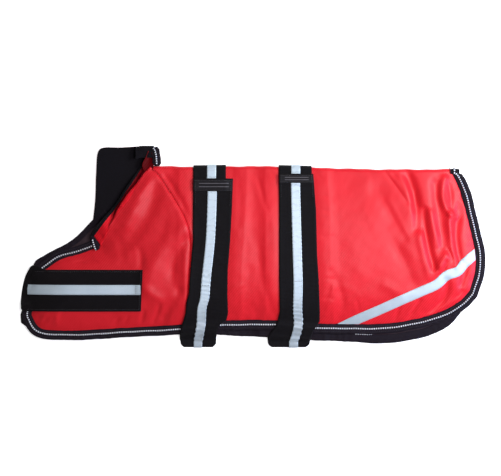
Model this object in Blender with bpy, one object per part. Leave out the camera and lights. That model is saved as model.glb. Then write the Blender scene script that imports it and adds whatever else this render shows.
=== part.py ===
"""A dog raincoat, folded in half along its spine, fastened, and laid on its side.

Metres, +Z up. The nose end is at -X, the tail at +X and the spine at +Y. The half that faces up is called
near, and the half that it lies on far. The coat rests at z = 0.
"""

from collections import namedtuple
from math import pi

import bpy
import numpy as np
from mathutils import Vector
from mathutils.bvhtree import BVHTree

for old in list(bpy.data.objects):
    bpy.data.objects.remove(old, do_unlink=True)

MM = 0.001
MIDDLE = (2.0 * MM, 0.7 * MM, 0)  # the box's middle in the outlines' frame, which becomes the origin

# Cloth, webbing and tape
CLOTH = 1.6 * MM
LINING = 1.2 * MM
WEBBING = 1.8 * MM
TAPE = 1.0 * MM
TAPE_WIDTH = 14.5 * MM
BINDING = 2.8 * MM
BINDING_WIDTH = 11 * MM
PIPING = 3.2 * MM
PIPING_RISE = 1.5 * MM
GAP = 0.3 * MM

# The stack of layers, from the floor up
LIFT = WEBBING + GAP
LINING_BOTTOM = CLOTH + GAP
LINING_TOP = LINING_BOTTOM + LINING
EDGE_TOP = LINING_TOP + GAP + 2.3 * MM
SPINE_TOP = 13 * MM
SPINE_RADIUS = 6.5 * MM
CROWN = 9 * MM
EDGE_REACH = 45 * MM
CROWN_REACH = 95 * MM
PRESS = 1.5 * MM

# Outlines in millimetres: each is a smooth curve through a few points of the cut as it lies
Knot = namedtuple("Knot", "x y")
SPINE = [Knot(-149, 122), Knot(-86, 120.5), Knot(-1, 121.5), Knot(90, 119.5), Knot(179, 117), Knot(299, 117)]
SEAM = [Knot(-149, 122), Knot(-116, 73.5), Knot(-94, 30), Knot(-91, -22), Knot(-94, -69), Knot(-94.5, -116)]
HEM_BACK = [Knot(-94.5, -116), Knot(-54, -111), Knot(39, -110.5), Knot(126, -116), Knot(223, -113),
            Knot(283, -98), Knot(313, -82), Knot(328, -67)]
TAIL = [Knot(299, 117), Knot(313.5, 85.5), Knot(329, 28.5), Knot(337.5, -15), Knot(336, -40), Knot(328, -67)]
NECK = [Knot(-310, -35), Knot(-286, -19), Knot(-254, -9.5), Knot(-227, 1)]
CREASE = [Knot(-227, 1), Knot(-208, 38), Knot(-181, 73.5), Knot(-162, 108), Knot(-149, 122)]
FRONT = [Knot(-310, -35), Knot(-323, -62), Knot(-330, -102)]
HEM_FRONT = [Knot(-330, -102), Knot(-318, -121), Knot(-286, -125.5), Knot(-211, -122.7), Knot(-94.5, -116)]
FAR_HEM = [Knot(-335, -107), Knot(-310, -115.5), Knot(-226, -117), Knot(-106, -117), Knot(24, -123), Knot(149, -130),
           Knot(208, -131.5), Knot(262, -122), Knot(291.5, -106.5), Knot(320.5, -70.5)]
FAR_TAIL = [Knot(299, 117), Knot(307.5, 90), Knot(320, 46), Knot(329, 8), Knot(332, -22), Knot(329, -48),
            Knot(320.5, -70.5)]
FAR_NECK = [Knot(-318, -27), Knot(-291, -12), Knot(-262, 5), Knot(-238, 28)]
FAR_NECKLINE = [Knot(-238, 28), Knot(-208, 57), Knot(-170, 106), Knot(-149, 115)]
FAR_FRONT = [Knot(-318, -27), Knot(-322, -62), Knot(-335, -107)]
COLLAR_RIM = [Knot(-233, 22), Knot(-219, 39.5), Knot(-189, 80), Knot(-165, 119)]
COLLAR_FAR = [Knot(-239, 29.5), Knot(-234.5, 70), Knot(-233, 110), Knot(-230, 143), Knot(-225, 148.5),
              Knot(-197, 149.6), Knot(-151, 149.6), Knot(-149.5, 145), Knot(-150.5, 117.5)]

# The largest folds of the upper side, in millimetres: a curve from, via and to, half its width, and its height
Fold = namedtuple("Fold", "from_x from_y via_x via_y to_x to_y half_width height")
FOLDS = [
    Fold(-144, 86, -155, 48, -185, 6, 12, -4),
    Fold(-99, 28, -137, -12, -155, -57, 14, 4),
    Fold(-96, 10, -114, -26, -109, -64, 9, -3),
    Fold(-170, 63, -178, 50, -186, 33, 9, 2.5),
    Fold(-156, -64, -148, -71, -138, -76, 9, 2.5),
    Fold(-128, 104, -108, 72, -92, 38, 7, -2.5),
    Fold(-205, 42, -180, 78, -155, 118, 8, -2),
    Fold(14, -4, 20, -57, 36, -104, 8, -3.5),
    Fold(12, 100, 17, 78, 23, 58, 7, -2),
    Fold(120, -36, 136, -70, 138, -92, 8, -3),
    Fold(190, 86, 211, 48, 231, 18, 14, -3),
    Fold(201, 26, 223, -12, 241, -52, 12, -2.5),
    Fold(234, 112, 246, 70, 249, 28, 9, -6),
    Fold(259, 56, 264, 10, 274, -32, 8, -4.5),
    Fold(277, 93, 282, 48, 288, 3, 10, -4),
    Fold(291, 104, 287, 70, 301, 46, 8, 3),
    Fold(315, 62, 308, 20, 313, -22, 9, -5),
    Fold(291, -14, 284, -25, 277, -35, 9, 2.5),
    Fold(292, -50, 288, -72, 266, -103, 9, -3.5),
    Fold(322, -76, 302, -87, 283, -95, 8, 2),
]

# Belly straps in millimetres: the left and right edge of the band at heights down the near side
Edge = namedtuple("Edge", "y left right")
Strap = namedtuple("Strap", "name edges base_left base_right end label_top label_bottom tape")
STRAPS = [
    Strap("strap_front", [Edge(110, -86, -27), Edge(55, -86, -29), Edge(10, -86, -31.5), Edge(-35, -90, -35),
                          Edge(-80, -92, -37), Edge(-108, -99, -43), Edge(-130, -105.5, -51), Edge(-152, -107, -53)],
          -86, -38, 102, 100.5, 83.5,
          [Knot(-59, 120), Knot(-57, 84), Knot(-59, 33), Knot(-66, -35), Knot(-70, -80), Knot(-77, -117),
           Knot(-82, -152)]),
    Strap("strap_rear", [Edge(120, 42, 92), Edge(55, 42.5, 96.5), Edge(-10, 42.5, 98), Edge(-64, 42.5, 100.5),
                         Edge(-103, 41, 103), Edge(-120, 37, 98.5), Edge(-136, 29, 92), Edge(-152, 27, 84)],
          42, 90.5, 109, 108, 96,
          [Knot(67, 120), Knot(67.5, 95), Knot(69, 25), Knot(70.5, -64), Knot(70.5, -110), Knot(66, -136),
           Knot(60, -152)]),
]
STRAP_BOTTOM = -151 * MM
STRAP_TURN = 9 * MM
BASE_UNDER_BAND = 14 * MM

# Chest flap and reflective tapes on the fronts and flanks, in millimetres
FLAP_TOP = -34.5 * MM
FLAP_BOTTOM = -96 * MM
FLAP_END = -165 * MM
FLAP_FOLD = [Knot(-338, -34.5), Knot(-343, -52), Knot(-346, -96)]
FLAP_FAR = [Knot(-320.5, -34.5), Knot(-323, -60), Knot(-331.5, -96)]
FLAP_TAPE_Y = -64 * MM
TAIL_TAPE = [Knot(157, -112), Knot(194, -95), Knot(223.5, -80), Knot(254, -66.5), Knot(278, -55.5), Knot(293, -42.5),
             Knot(314, -34), Knot(322, -22), Knot(334, -13)]


def through(knots, count, power=0.5):
    """Points spread evenly along a centripetal Catmull-Rom curve through the knots."""
    p = np.array([(k.x, k.y) for k in knots], float) * MM
    p = np.vstack([2 * p[0] - p[1], p, 2 * p[-1] - p[-2]])
    dense = []
    for a, b, c, d in zip(p, p[1:], p[2:], p[3:]):
        t0 = 0.0
        t1 = t0 + np.linalg.norm(b - a) ** power
        t2 = t1 + np.linalg.norm(c - b) ** power
        t3 = t2 + np.linalg.norm(d - c) ** power
        t = np.linspace(t1, t2, 24, endpoint=False)[:, None]
        ab = (t1 - t) / (t1 - t0) * a + (t - t0) / (t1 - t0) * b
        bc = (t2 - t) / (t2 - t1) * b + (t - t1) / (t2 - t1) * c
        cd = (t3 - t) / (t3 - t2) * c + (t - t2) / (t3 - t2) * d
        abc = (t2 - t) / (t2 - t0) * ab + (t - t0) / (t2 - t0) * bc
        bcd = (t3 - t) / (t3 - t1) * bc + (t - t1) / (t3 - t1) * cd
        dense.append((t2 - t) / (t2 - t1) * abc + (t - t1) / (t2 - t1) * bcd)
    return even(np.vstack(dense + [p[-2:-1]]), count)


def even(line, count):
    """A line's points again, count of them, at equal distances along it."""
    step = np.linalg.norm(np.diff(line, axis=0), axis=1)
    along = np.concatenate([[0], np.cumsum(step)])
    at = np.linspace(0, along[-1], count)
    return np.stack([np.interp(at, along, line[:, i]) for i in range(line.shape[1])], axis=1)


def at_y(line, y):
    """The x of a line that runs from high y to low y, at each y."""
    return np.interp(-y, -line[:, 1], line[:, 0])


def ease(t):
    return np.sin(np.clip(t, 0, 1) * pi / 2)


def distance(x, y, line):
    """The distance in plan from each point to a line of many points."""
    points = np.stack([np.ravel(x), np.ravel(y)], axis=1)[:, None]
    a, b = line[:-1], line[1:]
    along = ((points - a) * (b - a)).sum(2) / np.maximum(((b - a) ** 2).sum(1), 1e-12)
    nearest = a + np.clip(along, 0, 1)[..., None] * (b - a)
    return np.linalg.norm(points - nearest, axis=2).min(1).reshape(np.shape(x))


SPINE_LINE = through(SPINE, 90)
OPEN_LINE = np.vstack([through(NECK, 14)[::-1], through(FRONT, 8), through(HEM_FRONT, 24), through(HEM_BACK, 50),
                       through(TAIL, 24)[::-1]])


def fold_height(x, y):
    """The sum of the folds: each is a bell across its curve, which fades towards the curve's ends."""
    total = np.zeros(np.shape(x))
    for f in FOLDS:
        t = np.linspace(0, 1, 13)[:, None]
        ends = np.array([(f.from_x, f.from_y), (2 * f.via_x - (f.from_x + f.to_x) / 2,
                         2 * f.via_y - (f.from_y + f.to_y) / 2), (f.to_x, f.to_y)]) * MM
        line = (1 - t) ** 2 * ends[0] + 2 * t * (1 - t) * ends[1] + t ** 2 * ends[2]
        total += f.height * MM * np.exp(-(distance(x, y, line) / (f.half_width * MM)) ** 2)
    return total


def beside_straps(x, y, margin, ramp):
    """1 on a belly strap and within a margin of it, falling to 0 over a ramp beyond that."""
    share = np.zeros(np.shape(x))
    for s in STRAPS:
        rows = [np.array(column, float) * MM for column in zip(*s.edges)]
        left = np.interp(-y, -rows[0], rows[1])
        right = np.interp(-y, -rows[0], rows[2])
        beyond = np.maximum(left - x, x - right)
        share = np.maximum(share, 1 - ease((beyond - margin) / ramp))
    return share


def pressed(x, y):
    return beside_straps(x, y, 8 * MM, 14 * MM)


def lift(x, y):
    """How far the layers are raised where the far run of a belly strap lies under them."""
    return LIFT * beside_straps(x, y, 21 * MM, 14 * MM)


def height(x, y):
    """The upper side of the near half: thin at its open edges, round at the spine and full between."""
    x, y = np.asarray(x, float), np.asarray(y, float)
    edge = distance(x, y, OPEN_LINE)
    spine = np.interp(x, SPINE_LINE[:, 0], SPINE_LINE[:, 1]) - y
    press = pressed(x, y)
    h = EDGE_TOP + (SPINE_TOP - EDGE_TOP) * ease(edge / EDGE_REACH)
    h = h + CROWN * ease(edge / CROWN_REACH) * ease((spine - SPINE_RADIUS) / CROWN_REACH)
    calm = ease((edge - 4 * MM) / (16 * MM)) * ease((spine + 2 * MM) / (22 * MM)) * (1 - 0.85 * press)
    return h + fold_height(x, y) * calm - PRESS * press * ease(edge / EDGE_REACH) + lift(x, y)


def patch(left, right, top, bottom):
    """A Coons patch in plan: rows run from top to bottom, columns from left to right."""
    u = np.linspace(0, 1, len(top))[None, :, None]
    v = np.linspace(0, 1, len(left))[:, None, None]
    across = (1 - u) * left[:, None] + u * right[:, None]
    down = (1 - v) * top[None] + v * bottom[None]
    corners = ((1 - u) * (1 - v) * top[0] + u * (1 - v) * top[-1] + (1 - u) * v * bottom[0]
               + u * v * bottom[-1])
    return across + down - corners


def material(name, colour, roughness):
    made = bpy.data.materials.new(name)
    made.use_nodes = True
    shader = made.node_tree.nodes["Principled BSDF"]
    shader.inputs["Base Color"].default_value = (*colour, 1)
    shader.inputs["Roughness"].default_value = roughness
    shader.inputs["Metallic"].default_value = 0
    return made


RED = material("red nylon", (0.70, 0.045, 0.06), 0.55)
BLACK = material("black cloth", (0.012, 0.011, 0.013), 0.8)
SILVER = material("reflective tape", (0.72, 0.76, 0.80), 0.35)
PLACED = {}


def solid(name, points, faces, look):
    """One named object from its points and faces, smooth but for its sharp edges."""
    mesh = bpy.data.meshes.new(name)
    mesh.from_pydata([tuple(map(float, p - MIDDLE)) for p in np.array(points)], [], faces)
    mesh.materials.append(look)
    mesh.shade_smooth()
    mesh.set_sharp_from_angle(angle=pi / 5)
    made = bpy.data.objects.new(name, mesh)
    bpy.context.scene.collection.objects.link(made)
    PLACED[name] = ([Vector(p) for p in points], [f for f in faces])
    return made


def wall(name, upper, under, look):
    """A closed sheet between two grids of points. Every square is halved along the same diagonal, so layers nest."""
    rows, columns = upper.shape[:2]
    count = rows * columns
    index = np.arange(count).reshape(rows, columns)
    a, b, c, d = (corner.ravel() for corner in (index[:-1, :-1], index[1:, :-1], index[1:, 1:], index[:-1, 1:]))
    halves = np.vstack([np.stack([a, b, c], axis=1), np.stack([a, c, d], axis=1)])
    rim = np.concatenate([index[0, :], index[1:, -1], index[-1, -2::-1], index[-2:0:-1, 0]])
    after = np.roll(rim, -1)
    sides = np.vstack([np.stack([rim, after, after + count], axis=1),
                       np.stack([rim, after + count, rim + count], axis=1)])
    facing = np.cross(upper[1, 0] - upper[0, 0], upper[0, 1] - upper[0, 0])
    faces = np.vstack([halves, halves[:, ::-1] + count, sides])
    if facing @ (upper - under)[0, 0] < 0:
        faces = faces[:, ::-1]
    return solid(name, np.vstack([upper.reshape(-1, 3), under.reshape(-1, 3)]), faces.tolist(), look)


def sweep(name, centre, across, up, section, look):
    """A bar along a line: section is its outline as (across, up) pairs, anticlockwise seen from the end."""
    ring = len(section)
    points = np.concatenate([[c + a * s[0] + n * s[1] for s in section] for c, a, n in zip(centre, across, up)])
    faces = [[i * ring + j, i * ring + (j + 1) % ring, (i + 1) * ring + (j + 1) % ring, (i + 1) * ring + j]
             for i in range(len(centre) - 1) for j in range(ring)]
    last = (len(centre) - 1) * ring
    faces += [list(range(ring))[::-1], [last + j for j in range(ring)]]
    along = centre[1] - centre[0]
    if np.cross(across[0], up[0]) @ along < 0:
        faces = [f[::-1] for f in faces]
    return solid(name, points, faces, look)


def flat_bar(width, thick):
    """The section of a bound edge: a flat strip with soft corners, its underside at 0."""
    w, soft = width / 2, thick * 0.35
    return [(-w + soft, 0), (w - soft, 0), (w, soft), (w, thick - soft), (w - soft, thick),
            (-w + soft, thick), (-w, thick - soft), (-w, soft)]


def offset_normals(grid):
    """The unit normal at each point of a grid of points."""
    down = np.gradient(grid, axis=0)
    along = np.gradient(grid, axis=1)
    normal = np.cross(down, along)
    return normal / np.linalg.norm(normal, axis=2, keepdims=True)


def top_of(names, x, y, reach=3.5 * MM, steps=5):
    """The highest point of the named solids within reach of each place, found by looking down on them."""
    trees = [BVHTree.FromPolygons(*PLACED[name]) for name in names]
    x, y = np.asarray(x, float), np.asarray(y, float)
    best = np.full(x.shape, -1.0)
    for dx in np.linspace(-reach, reach, steps):
        for dy in np.linspace(-reach, reach, steps):
            for i in np.ndindex(x.shape):
                for tree in trees:
                    hit = tree.ray_cast(Vector((x[i] + dx, y[i] + dy, 0.2)), Vector((0, 0, -1)))[0]
                    if hit is not None:
                        best[i] = max(best[i], hit.z)
    return best


def at_z(plan, z):
    """A grid of points from a grid in plan and its heights."""
    return np.concatenate([plan, np.broadcast_to(z, plan.shape[:2])[..., None]], axis=2)


def clipped(line, axis, low, high):
    """The stretch of a line between two values of x (axis 0) or y (axis 1), both ends included."""
    dense = even(line, 240)
    if dense[0, axis] > dense[-1, axis]:
        return clipped(line[::-1], axis, low, high)[::-1]
    ends = [np.array([[np.interp(v, dense[:, axis], dense[:, i]) for i in (0, 1)]]) for v in (low, high)]
    inside = dense[(dense[:, axis] > low) & (dense[:, axis] < high)]
    return np.vstack([ends[0], inside, ends[1]])


def outward(line, away):
    """The line moved sideways in plan, to the left of its direction for a positive distance."""
    along = np.gradient(line, axis=0)
    along /= np.linalg.norm(along, axis=1, keepdims=True)
    return line + away * np.stack([-along[:, 1], along[:, 0]], axis=1)


# How finely the cloth is cut up
BACK_COLUMNS = 48
NEAR_ROWS = 17
FAR_ROWS = 7
ARC_ROWS = 5
NECK_COLUMNS = 9
CREASE_COLUMNS = 12
SEAM_GAP = 0.6 * MM

arc_start = SPINE_LINE[:, 1].copy() - SPINE_RADIUS
fold_line = np.stack([SPINE_LINE[:, 0], arc_start], axis=1)
seam = through(SEAM, 80)
seam = np.vstack([fold_line[:1], seam[seam[:, 1] < fold_line[0, 1] - SPINE_RADIUS]])
seam_near = even(seam, NEAR_ROWS)
far_hem_back = clipped(through(FAR_HEM, 120), 0, -94.5 * MM, 320.5 * MM)
far_hem_front = clipped(through(FAR_HEM, 120), 0, -335 * MM, -94.5 * MM)
seam_far = even(np.vstack([seam[seam[:, 1] > -0.1], far_hem_back[:1]]), FAR_ROWS)

near_plan = patch(seam_near, even(clipped(through(TAIL, 60), 1, -67 * MM, fold_line[-1, 1]), NEAR_ROWS),
                  even(fold_line, BACK_COLUMNS), even(through(HEM_BACK, 90), BACK_COLUMNS))
near_plan[0, -1], near_plan[0, 0] = fold_line[-1], fold_line[0]
far_tail = even(clipped(through(FAR_TAIL, 60), 1, -70.5 * MM, fold_line[-1, 1]), FAR_ROWS)
far_plan = patch(seam_far, far_tail, even(fold_line, BACK_COLUMNS), even(far_hem_back, BACK_COLUMNS))
far_plan[0] = near_plan[0]


def back_panel():
    """One cloth round the spine: the near half, half an ellipse at the fold, and the flat far half."""
    near = at_z(near_plan, height(near_plan[..., 0], near_plan[..., 1]))
    far = at_z(far_plan, lift(far_plan[..., 0], far_plan[..., 1]))
    turn = []
    for a in np.linspace(0, pi, ARC_ROWS + 1)[1:-1]:
        middle, half = (near[0, :, 2] + far[0, :, 2]) / 2, (near[0, :, 2] - far[0, :, 2]) / 2
        turn.append(np.stack([near[0, :, 0], near[0, :, 1] + SPINE_RADIUS * np.sin(a), middle + half * np.cos(a)],
                             axis=1))
    outer = np.concatenate([near[::-1], np.array(turn), far])
    normal = offset_normals(outer)
    normal[:NEAR_ROWS, :, :2] *= 0.6
    inner = outer + CLOTH * normal * np.sign(-normal[0, 0, 2])
    inner[-FAR_ROWS:] = far + [0, 0, CLOTH]
    wall("back_panel", outer, inner, RED)
    far_upper = far + [0, 0, LINING_TOP]
    wall("lining_back", far_upper, far + [0, 0, LINING_BOTTOM], BLACK)


def front_plan(side, edge, neck, crease, hem):
    """The plan of a front panel: its top row runs along the neck and then up the collar seam."""
    top = np.vstack([even(neck, NECK_COLUMNS)[:-1], even(crease, CREASE_COLUMNS)])
    bottom = even(hem, len(top))
    top[-1], bottom[-1] = edge[0], edge[-1]
    return patch(side, edge, top, bottom)


front_near_plan = front_plan(even(through(FRONT, 40), NEAR_ROWS), seam_near - [SEAM_GAP, 0], through(NECK, 40),
                             through(CREASE, 60), through(HEM_FRONT, 60))
front_far_plan = front_plan(even(through(FAR_FRONT, 40), FAR_ROWS), seam_far - [SEAM_GAP, 0], through(FAR_NECK, 40),
                            through(FAR_NECKLINE, 60), far_hem_front)
near_edge = np.vstack([front_near_plan[-1], near_plan[-1, 1:], near_plan[-2::-1, -1]])
far_edge = np.vstack([front_far_plan[-1], far_plan[-1, 1:], far_plan[-2::-1, -1]])


def front_panels():
    upper = at_z(front_near_plan, height(front_near_plan[..., 0], front_near_plan[..., 1]))
    wall("front_near", upper, upper - [0, 0, CLOTH], RED)
    under = at_z(front_far_plan, lift(front_far_plan[..., 0], front_far_plan[..., 1]))
    wall("front_far", under + [0, 0, CLOTH], under, RED)
    wall("lining_front", under + [0, 0, LINING_TOP], under + [0, 0, LINING_BOTTOM], BLACK)


def hidden_layers():
    """The near lining and the air in the fold, as one rounded solid between the halves."""
    crease = np.vstack([through(NECK, 30), through(CREASE, 40)[1:]])
    x = np.linspace(-282, 296, 40) * MM
    high = np.where(x < -149 * MM, np.interp(x, crease[:, 0], crease[:, 1]) - 14 * MM,
                    np.interp(x, fold_line[:, 0], fold_line[:, 1]) - 2 * MM)
    hems = np.vstack([through(HEM_FRONT, 60), through(HEM_BACK, 60)[1:]])
    low = np.interp(x, hems[:, 0], hems[:, 1]) + 20 * MM
    v = np.linspace(0, 1, 12)[:, None]
    plan = np.stack([np.broadcast_to(x, (12, 40)), high + (low - high) * v], axis=2)
    xs, ys = plan[..., 0], plan[..., 1]
    around = [(dx * 8 * MM, dy * 8 * MM) for dx in (-1, 0, 1) for dy in (-1, 0, 1)]
    top = np.min([height(xs + dx, ys + dy) for dx, dy in around], axis=0) - 3.2 * MM
    bottom = GAP + top_of(["lining_back", "lining_front"], xs, ys, 11 * MM)
    rim = np.minimum(np.minimum(v * 11, (1 - v) * 11), np.minimum(np.arange(40), np.arange(40)[::-1])[None])
    thick = np.maximum((top - bottom) * ease((rim + 0.4) / 2.4), 1 * MM)
    wall("hidden_layers", at_z(plan, bottom + thick), at_z(plan, bottom), BLACK)


def bound_edge(name, edge, under, width, thick, piping):
    """A binding beside a panel's edge, and where it shows the piping sewn along its middle."""
    line = outward(edge, width / 2 + 0.8 * MM)
    centre = np.column_stack([line, under])
    sideways = outward(line, 1) - line
    across = np.column_stack([-sideways, np.zeros(len(line))])
    up = np.tile([0.0, 0.0, 1.0], (len(line), 1))
    sweep(name, centre, across, up, flat_bar(width, thick), BLACK)
    if piping:
        cord = [(-PIPING / 2, 0), (PIPING / 2, 0), (PIPING / 4, PIPING_RISE), (-PIPING / 4, PIPING_RISE)]
        sweep(piping, centre + [0, 0, thick + GAP], across, up, cord, SILVER)


def hem_bindings():
    near = near_edge[::-1]
    spot = outward(near, BINDING_WIDTH / 2)
    under = np.maximum(height(near[:, 0], near[:, 1]) - 2.3 * MM,
                       top_of(["lining_back", "lining_front"], spot[:, 0], spot[:, 1], 8 * MM) + 0.4 * MM)
    bound_edge("hem_binding_near", near, under, BINDING_WIDTH, BINDING, "hem_piping")
    far = far_edge[::-1]
    bound_edge("hem_binding_far", far, lift(far[:, 0], far[:, 1]), BINDING_WIDTH, BINDING, None)


def neck_bindings():
    near = front_near_plan[0, :NECK_COLUMNS]
    under = height(near[:, 0], near[:, 1]) - 2.3 * MM
    bound_edge("neck_binding_near", near, under, BINDING_WIDTH, BINDING, "neck_piping")
    far = front_far_plan[0, :NECK_COLUMNS]
    bound_edge("neck_binding_far", far, np.zeros(NECK_COLUMNS), BINDING_WIDTH / 2, BINDING, None)


def seated(names, plan, reach=4 * MM, steps=5):
    """Heights just above the named solids, carried on along each column where there is nothing under it."""
    z = top_of(names, plan[..., 0], plan[..., 1], reach, steps)
    for i in range(1, len(z)):
        z[i] = np.where(z[i] < 0, z[i - 1], z[i])
    return z + GAP


def half_turn(start, low, radius, thick, direction):
    """Outer and inner rows of a fold from the last upper row down to the floor side.

    start holds the inner points above the fold, and direction is the way that it bulges in plan.
    """
    middle, half = (start[:, 2] + low) / 2, (start[:, 2] - low) / 2
    outer, inner = [], []
    for a in np.linspace(0, pi, ARC_ROWS + 1)[1:-1]:
        for rows, grow in ((outer, thick), (inner, 0)):
            rows.append(np.column_stack([start[:, :2] + np.array(direction) * (radius + grow) * np.sin(a),
                                         middle + (half + grow) * np.cos(a)]))
    return outer, inner


def strap_edges(strap, y):
    rows = [np.array(column, float) * MM for column in zip(*strap.edges)]
    return np.interp(-y, -rows[0], rows[1]), np.interp(-y, -rows[0], rows[2])


def across_strap(strap, ys, columns=5):
    left, right = strap_edges(strap, ys)
    u = np.linspace(0, 1, columns)
    return np.stack([left[:, None] + (right - left)[:, None] * u, np.broadcast_to(ys[:, None], (len(ys), columns))],
                    axis=2)


def strap_base(strap):
    """The short webbing that is sewn over the spine, under the band's end."""
    x = np.linspace(strap.base_left, strap.base_right, 4) * MM
    top_y = np.interp(x, fold_line[:, 0], fold_line[:, 1])
    low_y = (strap.end * MM) - BASE_UNDER_BAND
    v = np.linspace(0, 1, 4)[:, None]
    plan = np.stack([np.broadcast_to(x, (4, 4)), low_y + (top_y - low_y) * v], axis=2)
    near = at_z(plan, seated(["back_panel"], plan, 3 * MM))
    outer, inner = half_turn(near[-1], WEBBING, SPINE_RADIUS + 0.6 * MM, WEBBING, (0, 1))
    far = at_z(np.stack([plan[-1], plan[-1] * [1, 0] + [0, 98.5 * MM]]), WEBBING)
    wall(strap.name + "_base", np.concatenate([near + [0, 0, WEBBING], outer, far - [0, 0, WEBBING]]),
         np.concatenate([near, inner, far]), BLACK)


def strap_band(strap):
    """The band: from its end near the spine down the near side, round the belly and up the far side."""
    ys = np.linspace(strap.end * MM, STRAP_BOTTOM + STRAP_TURN, 24)
    plan = across_strap(strap, ys)
    z = seated(["back_panel", "front_near", "hem_binding_near", "hem_binding_far", "hem_piping",
                strap.name + "_base"], plan, 8.5 * MM, 9)
    near = at_z(plan, z)
    outer, inner = half_turn(near[-1], WEBBING, STRAP_TURN - WEBBING, WEBBING, (0, -1))
    far = at_z(across_strap(strap, np.linspace(ys[-1], 98 * MM, 8)), WEBBING)
    wall(strap.name + "_band", np.concatenate([near + [0, 0, WEBBING], outer, far - [0, 0, WEBBING]]),
         np.concatenate([near, inner, far]), BLACK)


def strap_label(strap):
    """A bare woven label across the band's end."""
    ys = np.linspace(strap.label_top, strap.label_bottom, 3) * MM
    plan = across_strap(strap, ys)
    middle = plan.mean(1, keepdims=True)
    plan = middle + (plan - middle) * [0.97, 1]
    under = at_z(plan, seated([strap.name + "_band"], plan, 3 * MM))
    wall(strap.name + "_label", under + [0, 0, TAPE], under, BLACK)


def tape_plan(line, width=TAPE_WIDTH, columns=2):
    """A grid along a line in plan, columns across its width."""
    sides = np.linspace(-width / 2, width / 2, columns)
    return np.stack([outward(line, s) for s in sides], axis=1)


def strap_tapes(strap):
    """Reflective tape on the band from its label to the belly, and on the base."""
    line = even(clipped(through(strap.tape, 60), 1, STRAP_BOTTOM + STRAP_TURN, (strap.label_bottom - 0.5) * MM), 22)
    if line[0, 1] < line[-1, 1]:
        line = line[::-1]
    plan = tape_plan(line)
    under = at_z(plan, seated([strap.name + "_band"], plan, 4.5 * MM))
    wall(strap.name + "_tape", under + [0, 0, TAPE], under, SILVER)
    top = np.interp(line[0, 0], fold_line[:, 0], fold_line[:, 1])
    ys = np.linspace((strap.end + 0.8) * MM, top, 3)
    x = strap.tape[0].x * MM
    plan = tape_plan(np.column_stack([np.full(3, x), ys]))
    near = at_z(plan, seated([strap.name + "_base"], plan, 3 * MM))
    outer, inner = half_turn(near[-1], 0, SPINE_RADIUS + WEBBING + 1.2 * MM, TAPE, (0, 1))
    wall(strap.name + "_base_tape", np.concatenate([near + [0, 0, TAPE], outer[:2]]),
         np.concatenate([near, inner[:2]]), SILVER)


def straps():
    for strap in STRAPS:
        for piece in (strap_base, strap_band, strap_label, strap_tapes):
            piece(strap)


def chest_flap():
    """The flap: from the near front to its fold at the chest, and back under to the far front's edge."""
    v = np.linspace(FLAP_TOP, FLAP_BOTTOM, 6)
    fold, far = at_y(through(FLAP_FOLD, 30), v) + STRAP_TURN, at_y(through(FLAP_FAR, 30), v)
    u = np.linspace(0, 1, 16)[:, None]
    plan = np.stack([FLAP_END + (fold - FLAP_END) * u, np.broadcast_to(v, (16, 6))], axis=2)
    near = at_z(plan, seated(["front_near"], plan, 5.5 * MM))
    outer, inner = half_turn(near[-1], WEBBING, STRAP_TURN - WEBBING, WEBBING, (-1, 0))
    under = at_z(np.stack([plan[-1], np.column_stack([far - 1 * MM, v])]), WEBBING)
    wall("chest_flap", np.concatenate([near + [0, 0, WEBBING], outer, under - [0, 0, WEBBING]]),
         np.concatenate([near, inner, under]), BLACK)
    line = np.column_stack([np.linspace(FLAP_END - 1.5 * MM, fold.min() + 1 * MM, 15), np.full(15, FLAP_TAPE_Y)])
    plan = tape_plan(line)
    tape = at_z(plan, seated(["chest_flap"], plan, 4 * MM))
    wall("chest_tape", tape + [0, 0, TAPE], tape, SILVER)


def tail_tape():
    plan = tape_plan(through(TAIL_TAPE, 26), TAPE_WIDTH, 3)
    under = at_z(plan, seated(["back_panel"], plan, 4 * MM))
    wall("tail_tape", under + [0, 0, TAPE], under, SILVER)


# The turned back stretch of the collar in section, in millimetres, from the far collar up and over
TURN_BACK = [(136, 3.6), (148, 4.4), (152, 7), (151, 10), (146, 11.5), (140, 12), (134, 12)]
COLLAR_RISE = 7 * MM


def far_collar():
    """The far half of the collar, open and flat: its red outer layer with the black inner layer on it."""
    dense = through(COLLAR_FAR, 200)
    corner = np.argmin(abs(dense[:, 1] - 143 * MM))
    top = np.argmin(abs(dense[:, 0] + 151 * MM) + abs(dense[:, 1] - 149.6 * MM))
    foot = outward(even(through(FAR_NECKLINE, 60), 12), 1 * MM)
    left = even(dense[:corner + 1][::-1], 9)
    right = even(dense[top:], 9)
    upper_line = even(dense[corner:top + 1], 12)
    foot[0], foot[-1] = left[-1], right[-1]
    plan = patch(left, right, upper_line, foot)
    wall("collar_far", at_z(plan, CLOTH), at_z(plan, 0), RED)
    wall("collar_far_lining", at_z(plan, LINING_TOP), at_z(plan, LINING_BOTTOM), BLACK)


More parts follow.
